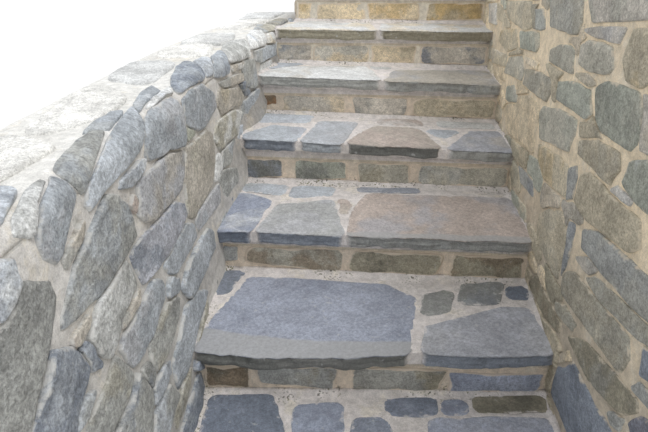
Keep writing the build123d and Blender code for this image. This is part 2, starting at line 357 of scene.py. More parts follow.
def mortarMaterial(name, look, fixedTone=None):
    # Sandy mortar: a tone, clouds, sand grains and dark or green specks where `dirt` is high
    material, nodes, links = startMaterial(name)
    tree = (nodes, links)
    place = nodes.new("ShaderNodeTexCoord").outputs["Object"]
    cloud = noiseNode(tree, place, look["cloudScale"], 5, 0.6)
    lumps = noiseNode(tree, place, look["lumpScale"], 4, 0.6)
    sand = noiseNode(tree, place, look["sandScale"], 3, 0.7)
    chalky = noiseNode(tree, place, look["chalkScale"], 5, 0.7, 0.4)
    chalky = rangeNode(tree, chalky, *look["chalkEdge"], 0, look["chalkShare"])
    tone = fixedTone or attributeNode(tree, "tone")["Vector"]
    clouded = look["plainCloud" if fixedTone else "cloud"]
    base = mixNode(tree, rangeNode(tree, cloud, *clouded), tone, look["cloudTone"])
    colour = mixNode(tree, chalky, base, look["chalkTone"])
    for value, depth in ((lumps, "lumpDepth"), (sand, "sandDepth")):
        colour = scaleColour(tree, colour, rangeNode(tree, value, *look["spread"], *look[depth]))
    if not fixedTone:
        dirt = attributeNode(tree, "dirt")["Fac"]
        crowd = noiseNode(tree, place, look["crowdScale"], 3, 0.6)
        crowd = rangeNode(tree, crowd, *look["crowdEdge"], 0, 1)
        specks = noiseNode(tree, place, look["dirtScale"], 2, 0.4)
        specks = rangeNode(tree, specks, *look["dirtEdge"], 0, look["dirtShare"])
        specks = mathNode(tree, "MULTIPLY", mathNode(tree, "MULTIPLY", specks, crowd), dirt)
        soil = noiseNode(tree, place, look["soilScale"], 2, 0.5)
        soil = mixNode(tree, rangeNode(tree, soil, *look["soilEdge"], 0, 1), *look["soilTones"])
        colour = mixNode(tree, specks, colour, soil)
    heights = [(lumps, look["lumpLift"]), (sand, look["sandLift"])]
    return finishMaterial(material, tree, colour, rangeNode(tree, lumps, 0.3, 0.7, 0.84, 0.96), heights)


stoneLook = {
    "cloudScale": 9, "cloudDepth": (0.82, 1.16), "cloudLift": 0.006,
    "streakStretch": (1, 2.4, 2.4), "streakScale": 16, "streakDepth": (0.93, 1.06), "streakLift": 0.0025,
    "pitScale": 62, "pitDepth": (0.80, 1.16), "pitLift": 0.006,
    "grainScale": 200, "grainDepth": (0.74, 1.24), "grainLift": 0.002,
    "patchScale": 7, "patchEdge": (0.46, 0.60), "patchShare": 0.75,
    "fleckScale": 130, "fleckEdge": (0.66, 0.74), "fleckShare": 0.45, "fleckTone": "pale",
    "smearScale": 20, "smearReach": 0.32, "smearStart": 0.74, "smearWidth": 0.16, "smearShare": 0.8,
    "smearTone": "leftPlain", "roughness": (0.72, 0.92),
}
mortarLook = {
    # a cloud: two edges of its noise, then the share of its tone at each
    "cloudScale": 3.5, "cloudTone": "warmGrey",
    "cloud": (0.4, 0.7, 0, 0.22), "plainCloud": (0.35, 0.65, 0, 0.35),
    "spread": (0.25, 0.75),                         # most of the values of the two noises below
    "lumpScale": 42, "lumpDepth": (0.80, 1.12), "lumpLift": 0.006,
    "sandScale": 300, "sandDepth": (0.82, 1.15), "sandLift": 0.0016,
    "chalkScale": 9, "chalkEdge": (0.52, 0.66), "chalkShare": 0.55, "chalkTone": "cream",
    # dark or green specks, in crowds
    "dirtScale": 120, "dirtEdge": (0.59, 0.63), "dirtShare": 0.9, "crowdScale": 8, "crowdEdge": (0.46, 0.58),
    "soilScale": 23, "soilEdge": (0.45, 0.55), "soilTones": ("bark", "moss"),
}
leftStone = stoneMaterial("cleft blue grey stone", {
    **stoneLook, "streakStretch": (1, 1.5, 1.5), "streakScale": 24, "grainScale": 150, "grainLift": 0.0028,
    "pitDepth": (0.78, 1.2),
})
rightStone = stoneMaterial("tan wall stone", {
    **stoneLook, "smearTone": "rightPlain", "smearReach": 0.28, "pitLift": 0.004, "fleckShare": 0.25,
    "patchShare": 0.45,
})
riserStone = stoneMaterial("riser stone", {
    **stoneLook, "smearTone": "riserMortar", "smearReach": 0.46, "smearScale": 15, "smearStart": 0.70,
    "streakLift": 0.002, "cloudLift": 0.003,
})
flagStone = stoneMaterial("riven flag", {
    **stoneLook, "cloudScale": 6, "cloudLift": 0.004, "cloudDepth": (0.92, 1.08),
    "streakStretch": (1, 1, 9), "streakScale": 22, "streakLift": 0.003, "streakDepth": (0.87, 1.10),
    "pitScale": 85, "pitLift": 0.002, "pitDepth": (0.92, 1.07),
    "grainScale": 260, "grainDepth": (0.84, 1.16), "grainLift": 0.001, "patchScale": 4, "patchShare": 0.6,
    "fleckScale": 48, "fleckShare": 0.5,
    "smearTone": "treadMortar", "smearScale": 30, "smearReach": 0.27, "smearStart": 0.75, "smearShare": 0.7,
    "stripTone": "wornStrip", "stripRagged": 0.05, "stripEdge": (0.020, 0.034), "stripShare": 0.8,
    "stripDepth": (0.9, 1.08),
})
capStone = stoneMaterial("capping stone", {
    **stoneLook, "streakStretch": (1, 1, 6), "smearTone": "chalk", "smearReach": 0.25, "patchShare": 0.4,
})
mortar = mortarMaterial("lime mortar", mortarLook)
wallCore = mortarMaterial("wall core mortar", mortarLook, "leftPlain")
warmCore = mortarMaterial("warm core mortar", mortarLook, "rightPlain")
bedMortar = mortarMaterial("bedding mortar", mortarLook, "treadMortar")
print("materials made")

# CAD nodes that stay in sight, each with the finish of the mass it is
for name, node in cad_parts.items():
    finish = bedMortar if name.endswith("_bed") else wallCore if name.startswith("left") else warmCore
    node.data.materials.clear()
    node.data.materials.append(finish)


# Camera, where the photographer stood, in stair coordinates

view = {
    "place": (0.0, -1.03, 1.47), "down": 25.1, "left": 5.1, "roll": 0.2,
    "focal": 600, "middle": (324, 216), "frameWidth": 648,      # in the photograph's pixels
    "sensor": 36,
}
down, left, roll = (math.radians(view[key]) for key in ("down", "left", "roll"))
forward = np.array([-math.sin(left) * math.cos(down), math.cos(left) * math.cos(down), -math.sin(down)])
level = np.array([math.cos(left), math.sin(left), 0])
below = np.cross(forward, level)
rightward = math.cos(roll) * level + math.sin(roll) * below
downward = -math.sin(roll) * level + math.cos(roll) * below
eye = np.array(view["place"]) + (middleX, nosingY, 0)
cameraData = bpy.data.cameras.new("camera")
cameraData.sensor_width = view["sensor"]
cameraData.lens = view["focal"] * view["sensor"] / view["frameWidth"]
camera = bpy.data.objects.new("camera", cameraData)
scene.collection.objects.link(camera)
axes = np.stack([rightward, -downward, -forward], -1)
camera.matrix_world = Matrix([(*row, at) for row, at in zip(axes, eye)] + [(0, 0, 0, 1)])
scene.camera = camera


def sight(pixels):
    # Directions from the camera through pixels of the photograph
    offset = (np.array(pixels, dtype=float) - view["middle"]) / view["focal"]
    return forward + offset[:, :1] * rightward + offset[:, 1:] * downward


# Places read from the CAD nodes

def solidsOf(name):
    # The separate solids of a CAD node, each as its points and triangles
    points, triangles = nodeMesh(name)
    _, same = np.unique(points.round(5), axis=0, return_inverse=True)
    label = np.arange(same.max() + 1)
    linked = same.ravel()[triangles]
    for _ in range(200):
        lowest = label[linked].min(1)
        updated = label.copy()
        for side in range(3):
            np.minimum.at(updated, linked[:, side], lowest)
        if (updated == label).all():
            break
        label = updated
    group = label[linked[:, 0]]
    return [(points, triangles[group == value]) for value in np.unique(group)]


def flagOutline(points, triangles):
    # Plan outline of a flag: the points of its underside in order round their middle, and the plane
    # z = height + slope x of its top.
    a, b, c = (points[triangles[:, k]] for k in range(3))
    normal = np.cross(b - a, c - a)
    area = np.linalg.norm(normal, axis=1)
    normal /= np.maximum(area, 1e-12)[:, None]
    under, upper = normal[:, 2] < -0.9, normal[:, 2] > 0.97
    rim = np.unique(points[triangles[under]].reshape(-1, 3).round(5), axis=0)
    top = np.unique(points[triangles[upper]].reshape(-1, 3).round(5), axis=0)
    middle = rim[:, :2].mean(0)
    order = np.argsort(np.arctan2(rim[:, 1] - middle[1], rim[:, 0] - middle[0]))
    best = normal[upper][area[upper].argmax()]
    slope = -best[0] / best[2]
    height = (top[:, 2] - slope * top[:, 0]).mean()
    return rim[order][:, :2], height, slope


def riserLine(step):
    # Left and right ends, on plan, of a riser's front face, and its heights
    points, _ = nodeMesh(f"riser_{step}")
    ends = []
    for side in (points[:, 0] < middleX, points[:, 0] >= middleX):
        half = points[side]
        ends.append(half[half[:, 1].argmin()][:2])
    low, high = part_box(f"riser_{step}")
    along = (ends[1] - ends[0]) / (ends[1][0] - ends[0][0])
    return ends[0], along, low.z, high.z


def riserY(step, x):
    start, along, _, _ = riserLines[step]
    return start[1] + (x - start[0]) * along[1]


riserLines = {step: riserLine(step) for step in range(1, stepCount + 1)}
treadPlanes = {step: flagOutline(*solidsOf(f"tread_{step}_right_slab")[0])[1:] for step in riserLines}


def stairSurface(y):
    # Height of the flight's walking surface at y, 0 in front of it
    faces = [riserY(step, middleX) for step in riserLines]
    heights = [0.0] + [height + slope * middleX for height, slope in treadPlanes.values()]
    return np.array(heights)[np.searchsorted(faces, y)]


# Rubble faces

def outside(outline, points):
    # Signed distance from a closed outline, less than 0 inside: the distance to the nearest side,
    # and inside where a level line from the point crosses an odd number of sides.
    side = np.roll(outline, -1, axis=0) - outline
    offset = points[..., None, :] - outline
    along = np.clip((offset * side).sum(-1) / np.maximum((side ** 2).sum(-1), 1e-12), 0, 1)
    away = offset - along[..., None] * side
    nearest = np.sqrt((away ** 2).sum(-1).min(-1))
    height = points[..., None, 1]
    above = outline[:, 1] > height
    crosses = above != np.roll(above, -1, axis=-1)
    rise = np.where(np.abs(side[:, 1]) < 1e-9, 1e-9, side[:, 1])
    crossing = outline[:, 0] + (height - outline[:, 1]) * side[:, 0] / rise
    inside = (crosses & (points[..., None, 0] < crossing)).sum(-1) % 2 == 1
    return np.where(inside, -nearest, nearest)


fit = {
    "ringPoints": 40,           # points round a drawn outline
    "firstShare": 0.12,         # where the search for a stone's edge starts, as a share of its drawn outline
    "shares": 44,
    "settlePoints": 20,         # points round a stone while the stones settle
    "settleRounds": 3,
    "tracedArea": 0.3,          # share of the least area that is enough for a traced stone
    "buried": 0.01,             # depth below the flight's surface at which a stone still counts as seen
}


def ringOf(outline, count):
    # A closed outline as `count` points, its corners among them, shared out over its sides by length
    side = np.roll(outline, -1, axis=0) - outline
    length = np.hypot(*side.T)
    shares = np.maximum(np.round(length / length.sum() * count), 1).astype(int)
    shares[length.argmax()] += count - shares.sum()
    which = np.repeat(np.arange(len(outline)), shares)
    first = np.concatenate([[0], np.cumsum(shares)[:-1]])
    part = (np.arange(count) - first[which]) / shares[which]
    return outline[which] + part[:, None] * side[which]


def makeStone(outline, tone, patch, traced):
    # A stone's drawn outline, with its middle, its reach from there and the direction of its bed
    outline = np.array(outline, dtype=float)
    ring = ringOf(outline, fit["ringPoints"])
    middle = ring.mean(0)
    spread = ring - middle
    _, _, lines = np.linalg.svd(spread, full_matrices=False)
    return {"outline": outline, "middle": middle, "reach": np.hypot(*spread.T).max(),
            "bed": lines[0] * np.sign(lines[0][0] + 1e-9), "tone": tone, "patch": patch, "traced": traced}


def fillingStones(low, high, look, random):
    # Small four-sided seeds in rough courses, from which the stones between the traced ones grow
    stones, v = [], low[1]
    while v < high[1]:
        tall = random.uniform(*look["courseHeight"])
        u = low[0] - random.uniform(0, look["stoneLength"][0])
        while u < high[0]:
            long = random.uniform(*look["stoneLength"]) * (0.7 + 2.2 * tall)
            middle = np.array([u + long / 2, v + tall / 2]) + random.normal(0, look["scatter"], 2)
            corners = np.array([(-1, -1), (1, -1), (1, 1), (-1, 1)]) * random.uniform(0.45, 1.3, (4, 2))
            corners = corners * (0.32 * long, 0.24 * tall * random.uniform(0.7, 1.2))
            turn = math.radians(random.normal(look["tilt"], look["tiltSpread"]))
            cosine, sine = math.cos(turn), math.sin(turn)
            tone, patch = random.choice(look["tones"], 2)
            turned = corners @ np.array([(cosine, sine), (-sine, cosine)])
            stones.append(makeStone(middle + turned, tone, patch, False))
            u += long
        v += tall
    return stones


def tracedStones(traced, toFace):
    # Stones read from the photograph, each an outline in its pixels carried on to the wall's face
    return [makeStone(toFace(outline), tone, patch, True) for tone, patch, outline in traced.values()]


def fitOutlines(stones, limits, look, columns):
    # Outline of each stone as its reach along rays from its middle to points of its drawn outline. A
    # traced stone ends at that outline. A filling stone grows until it comes within a joint of a traced
    # stone, of its nearest rival or of a limit line (normal, distance).
    steps = np.linspace(fit["firstShare"], look["growth"], fit["shares"])
    fitted = []
    for index, stone in enumerate(stones):
        ray = ringOf(stone["outline"], columns) - stone["middle"]
        points = stone["middle"] + steps[:, None, None] * ray
        own = outside(stone["outline"], points)
        room = look["spill"] if stone["traced"] else look["grow"]
        excess = own - room
        for place, other in enumerate(stones):
            apart = np.hypot(*(other["middle"] - stone["middle"])) - other["reach"] - stone["reach"]
            if place == index or apart > 2 * room + look["joint"]:
                continue
            if stone["traced"] and not other["traced"]:
                continue
            gap = outside(other["outline"], points)
            if other["traced"] and not stone["traced"]:
                excess = np.maximum(excess, look["joint"] - gap)
            else:
                between = look["spill"] if stone["traced"] else look["joint"]
                excess = np.maximum(excess, own - gap + between)
        for normal, far in limits:
            excess = np.maximum(excess, points @ np.array(normal) - far + look["joint"] / 2)
        over = excess > 0
        last = np.where(over.any(0), over.argmax(0), len(steps) - 1)
        before = np.maximum(last - 1, 0)
        low, high = (np.take_along_axis(excess, row[None], 0)[0] for row in (before, last))
        share = np.clip(np.where(high > low, -low / np.maximum(high - low, 1e-9), 1), 0, 1)
        reach = steps[before] + (steps[last] - steps[before]) * share
        smooth = 0.6 * reach + 0.2 * (np.roll(reach, 1) + np.roll(reach, -1))
        fitted.append(stone["middle"] + np.minimum(reach, smooth)[:, None] * ray)
    return fitted


def areaOf(outline):
    x, y = outline.T
    return abs((x * np.roll(y, -1) - y * np.roll(x, -1)).sum()) / 2


def settle(stones, limits, look, surface=None):
    # Drops filling stones that start on a traced one, and stones left too small or buried in the flight
    traced = [stone for stone in stones if stone["traced"]]
    kept = traced + [stone for stone in stones if not stone["traced"] and all(
        outside(other["outline"], stone["middle"][None])[0] > look["joint"] for other in traced)]
    for _ in range(fit["settleRounds"]):
        outlines = fitOutlines(kept, limits, look, fit["settlePoints"])
        large = [areaOf(outline) > look["leastArea"] * (fit["tracedArea"] if stone["traced"] else 1)
                 for stone, outline in zip(kept, outlines)]
        if all(large):
            break
        kept = [stone for stone, enough in zip(kept, large) if enough]
    if surface:
        outlines = fitOutlines(kept, limits, look, fit["settlePoints"])
        kept = [stone for stone, outline in zip(kept, outlines)
                if (outline[:, 1] > surface(outline[:, 0]) - fit["buried"]).any()]
    return kept


rootShares = (0.985, 0.5)      # the rings inside the wall, as shares of a stone's outline


def dressFace(shell, stones, place, look, seed, rings):
    # Each stone, given with its fitted outline, is a polar grid. Its height over the mortar is
    # stand + lean . (x, y) + crown (1 - r^3) - facets - edge drop + noise, and its last rows run down
    # into the wall.
    random = np.random.default_rng(seed)
    near = 1 - (1 - np.linspace(0.0, 1, rings + 1)[1:]) ** look["ringPack"]
    for index, (stone, outline) in enumerate(stones):
        centre, columns = stone["middle"], len(outline)
        turn = np.linspace(0, 2 * math.pi, columns, endpoint=False)
        waves = np.stack([np.cos(k * turn + random.uniform(0, 6)) for k in (3, 5, 8)])
        wobble = look["wobble"] * random.normal(0, 1, 3) @ waves
        outline = (outline - centre) * np.minimum(1 + wobble, 1.01)[:, None]
        flat = centre + near[:, None, None] * outline
        radius = np.hypot(*outline.T)
        toEdge = (1 - near)[:, None] * radius
        local = (flat - centre) / radius.max()
        solid = np.concatenate([flat, np.full(flat.shape[:2] + (1,), index * 1.7)], -1)
        height = random.uniform(*look["stand"]) + local @ random.normal(0, look["lean"], 2)
        height = height + look["crown"] * (1 - near[:, None] ** 3)
        facing = random.uniform(0, 2 * math.pi) + np.arange(4) * random.uniform(1.2, 1.9, 4)
        slopes = np.stack([np.cos(facing), np.sin(facing)]) * random.uniform(0.6, 1.5, 4)
        cut = look["facet"] * min(radius.mean() / 0.06, 1)
        facets = cut * (local @ slopes - random.uniform(0.15, 0.6, 4))
        height = height - np.maximum(facets.max(-1), 0)
        height = height + look["noise"] * roughNoise(solid, look["noiseCell"], seed + 3, 4)
        height = np.maximum(height, look["least"])
        edge = look["edge"]
        height = height - edge + np.sqrt(np.maximum(edge ** 2 - np.maximum(edge - toEdge, 0) ** 2, 0))
        flat = np.concatenate([flat] + [(centre + outline * share)[None] for share in rootShares])
        height = np.concatenate([height, np.full((len(rootShares), columns), -look["root"])])
        grid = place(flat[..., 0], flat[..., 1], height)
        bed = stone["bed"]
        x, y = (flat - centre) @ bed, (flat - centre) @ np.array([-bed[1], bed[0]])
        bedding = np.stack([x, y, height], -1) + random.uniform(0, 20, 3)
        # Stones are painted paler further up the flight as painted light, because more sky and reflected sun
        # reach the walls there
        climb = np.clip(centre[0] / wallRun, 0, 1)      # stones are paler further up the flight
        shade = look["gain"] * (1 + look["paler"] * climb) * (1 + random.normal(0, look["shade"]))
        rimWidth = min(look["rimWidth"], 0.55 * radius.min())
        rim = np.concatenate([stepUp(rimWidth, 0, toEdge), np.ones((len(rootShares), columns))])
        shell.addRound(grid, {
            "tone": np.broadcast_to(linear(stone["tone"]) * shade, grid.shape),
            "patch": np.broadcast_to(linear(stone["patch"]) * shade, grid.shape),
            "bedding": bedding, "rim": rim,
        })


sheet = {"slack": 0.004, "edgeDrop": 0.006, "edgeWidth": 0.012, "thickness": 0.02}


def mortarSheet(shell, place, width, height, spacing, look, seed, start=(0.0, 0.0), slack=sheet["slack"],
                edges=None):
    # Mortar over a face: lift + noise over a grid of u and v, whose edges turn into the wall. `edges`
    # gives the left and right ends of the sheet at each height where they aren't upright.
    columns, rows = max(int(width / spacing), 6), max(int(height / spacing), 4)
    upward = np.linspace(start[1] + slack, start[1] + height - slack, rows)
    share, v = np.meshgrid(np.linspace(0, 1, columns), upward)
    left, right = edges(v) if edges else (start[0], start[0] + width)
    u = left + slack + share * (right - left - 2 * slack)
    spot = np.stack([u, v, np.full(u.shape, seed * 1.3)], -1)
    lift = look["lift"] + look["lump"] * roughNoise(spot, look["lumpCell"], seed, 3)
    margin = np.minimum(np.minimum(u - left, right - u), np.minimum(v - v.min(), v.max() - v))
    lift = lift - sheet["edgeDrop"] * stepUp(sheet["edgeWidth"], 0, margin)
    grid = place(u, v, lift)
    middle = (rows // 2, columns // 2)
    inward = place(u[middle], v[middle], -sheet["thickness"]) - place(u[middle], v[middle], 0.0)
    # Near the ground the mortar turns to its darker tone as painted shade, deeper down between the walls
    low = stepUp(*look["dampHeight"], v)[..., None] if "damp" in look else 0.0      # 1 near the ground
    damp = linear(look.get("damp", look["tone"]))
    tone = (linear(look["tone"]) * (1 - low) + damp * low) * np.ones(grid.shape)
    dirt = look["dirt"](u, v) if "dirt" in look else np.zeros(u.shape)
    shell.addSheet(grid, inward, {"tone": tone, "dirt": dirt})


# Left wall: its inner face leans back at the foot of the flight and bends inwards

leftNames = ["left_wall_lower", "left_wall_middle", "left_wall_bend", "left_wall_end"]
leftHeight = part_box("left_wall_lower")[1].z


def leftSections():
    # y, inner x at the ground, inner x at the top and outer x, wherever the wall's section changes
    points = np.concatenate([nodeMesh(name)[0] for name in leftNames])
    inside = points[:, 0] > (points[:, 0].min() + points[:, 0].max()) / 2
    inner, outer = points[inside], points[~inside]
    outer, sections = outer[np.argsort(outer[:, 1])], []
    for y in np.unique(inner[:, 1].round(4)):
        ring = inner[np.abs(inner[:, 1] - y) < 2e-4]
        foot, top = ring[ring[:, 2] < 1e-3], ring[ring[:, 2] > leftHeight - 1e-3]
        if len(foot) and len(top):
            sections.append((y, foot[:, 0].max(), top[:, 0].max(), np.interp(y, outer[:, 1], outer[:, 0])))
    return np.array(sections)


leftShape = leftSections()
print("left wall sections:", len(leftShape))


def leftInnerX(y, z):
    foot, top = np.interp(y, leftShape[:, 0], leftShape[:, 1]), np.interp(y, leftShape[:, 0], leftShape[:, 2])
    return foot + (top - foot) * z / leftHeight


# The wall's top is humped: its section turns over from the inner face, runs across and turns down
leftTop = {
    "height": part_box("left_wall_capstones")[1].z - 0.006, "deep": 0.062, "tall": 0.048,
    "across": 0.24,             # run over the top
    "outerRound": 0.03, "outerRun": 0.047,
    "below": 0.02,              # run down past the outer round on to the wall
}
quarter = np.radians(np.linspace(0, 90, 13))
shoulderStart = leftTop["height"] - leftTop["tall"]
shoulder = np.stack([leftTop["deep"] * (1 - np.cos(quarter)), leftTop["tall"] * np.sin(quarter)])
shoulderRun = shoulderStart + np.concatenate([[0], np.cumsum(np.hypot(*np.diff(shoulder, axis=1)))])
acrossRun = shoulderRun[-1] + leftTop["across"]
copingEnd = acrossRun + leftTop["outerRun"] + leftTop["below"]


def leftSurface(u, v):
    # Points of the inner face and the humped top at u along the flight and v up and over the section
    y = wallStartY + u
    face = leftInnerX(y, np.minimum(v, shoulderStart))
    back = np.interp(y, leftShape[:, 0], leftShape[:, 3]) + leftTop["outerRound"]
    setback, rise = (np.interp(v, shoulderRun, values) for values in shoulder)
    over = np.clip((v - shoulderRun[-1]) / (acrossRun - shoulderRun[-1]), 0, 1)
    x = face - setback + over * (back - face + leftTop["deep"])
    turn = np.clip((v - acrossRun) / leftTop["outerRun"], 0, 1) * math.pi / 2
    x = x - leftTop["outerRound"] * np.sin(turn)
    z = np.where(v < shoulderStart, v, shoulderStart + rise) - leftTop["outerRound"] * (1 - np.cos(turn))
    return np.stack([x, y * np.ones_like(x), z - np.maximum(v - acrossRun - leftTop["outerRun"], 0)], -1)


normalProbe = (0.02, 0.015)      # distances along and up the face between which its normal is measured


def leftInner(u, v, w):
    # w out of the face along its normal, the cross product of its two directions
    u, v, w = np.broadcast_arrays(u, v, w)
    alongU = leftSurface(u + normalProbe[0], v) - leftSurface(u - normalProbe[0], v)
    alongV = leftSurface(u, v + normalProbe[1]) - leftSurface(u, v - normalProbe[1])
    normal = np.cross(alongU, alongV)
    normal /= np.linalg.norm(normal, axis=-1, keepdims=True)
    return leftSurface(u, v) + w[..., None] * normal


def leftOuter(u, v, w):
    u, v, w = np.broadcast_arrays(u, v, w)
    x = np.interp(wallStartY + u, leftShape[:, 0], leftShape[:, 3])
    return np.stack([x - w, wallStartY + u, v], -1)


search = {"nearest": 0.3, "farthest": 5.0, "halvings": 40}


def onLeftFace(pixels):
    # Where the lines of sight meet the left wall's face or its humped top, as u and v, found by halving
    rays = sight(pixels)
    near, far = (np.full(len(rays), search[key]) for key in ("nearest", "farthest"))
    for _ in range(search["halvings"]):
        middle = (near + far) / 2
        x, y, z = (eye + middle[:, None] * rays).T
        rise = np.clip((z - shoulderStart) / leftTop["tall"], 0, 1)
        setback = leftTop["deep"] * (1 - np.sqrt(1 - rise ** 2))
        within = (x < leftInnerX(y, np.minimum(z, shoulderStart)) - setback) & (z < leftTop["height"])
        near, far = np.where(within, near, middle), np.where(within, middle, far)
    x, y, z = (eye + far[:, None] * rays).T
    setback = leftInnerX(y, shoulderStart) - x
    turned = shoulderStart + np.interp(setback, shoulder[0], shoulderRun - shoulderStart)
    run = np.where(z < shoulderStart, z, turned + np.maximum(setback - leftTop["deep"], 0))
    return np.stack([y - wallStartY, run], -1)


def flatFace(origin, along, out):
    # A plane face: origin + u along + v up + w out
    origin, along, out = (np.array(value, dtype=float) for value in (origin, along, out))

    def place(u, v, w):
        u, v, w = np.broadcast_arrays(u, v, w)
        return origin + u[..., None] * along + v[..., None] * np.array([0, 0, 1.0]) + w[..., None] * out
    return place


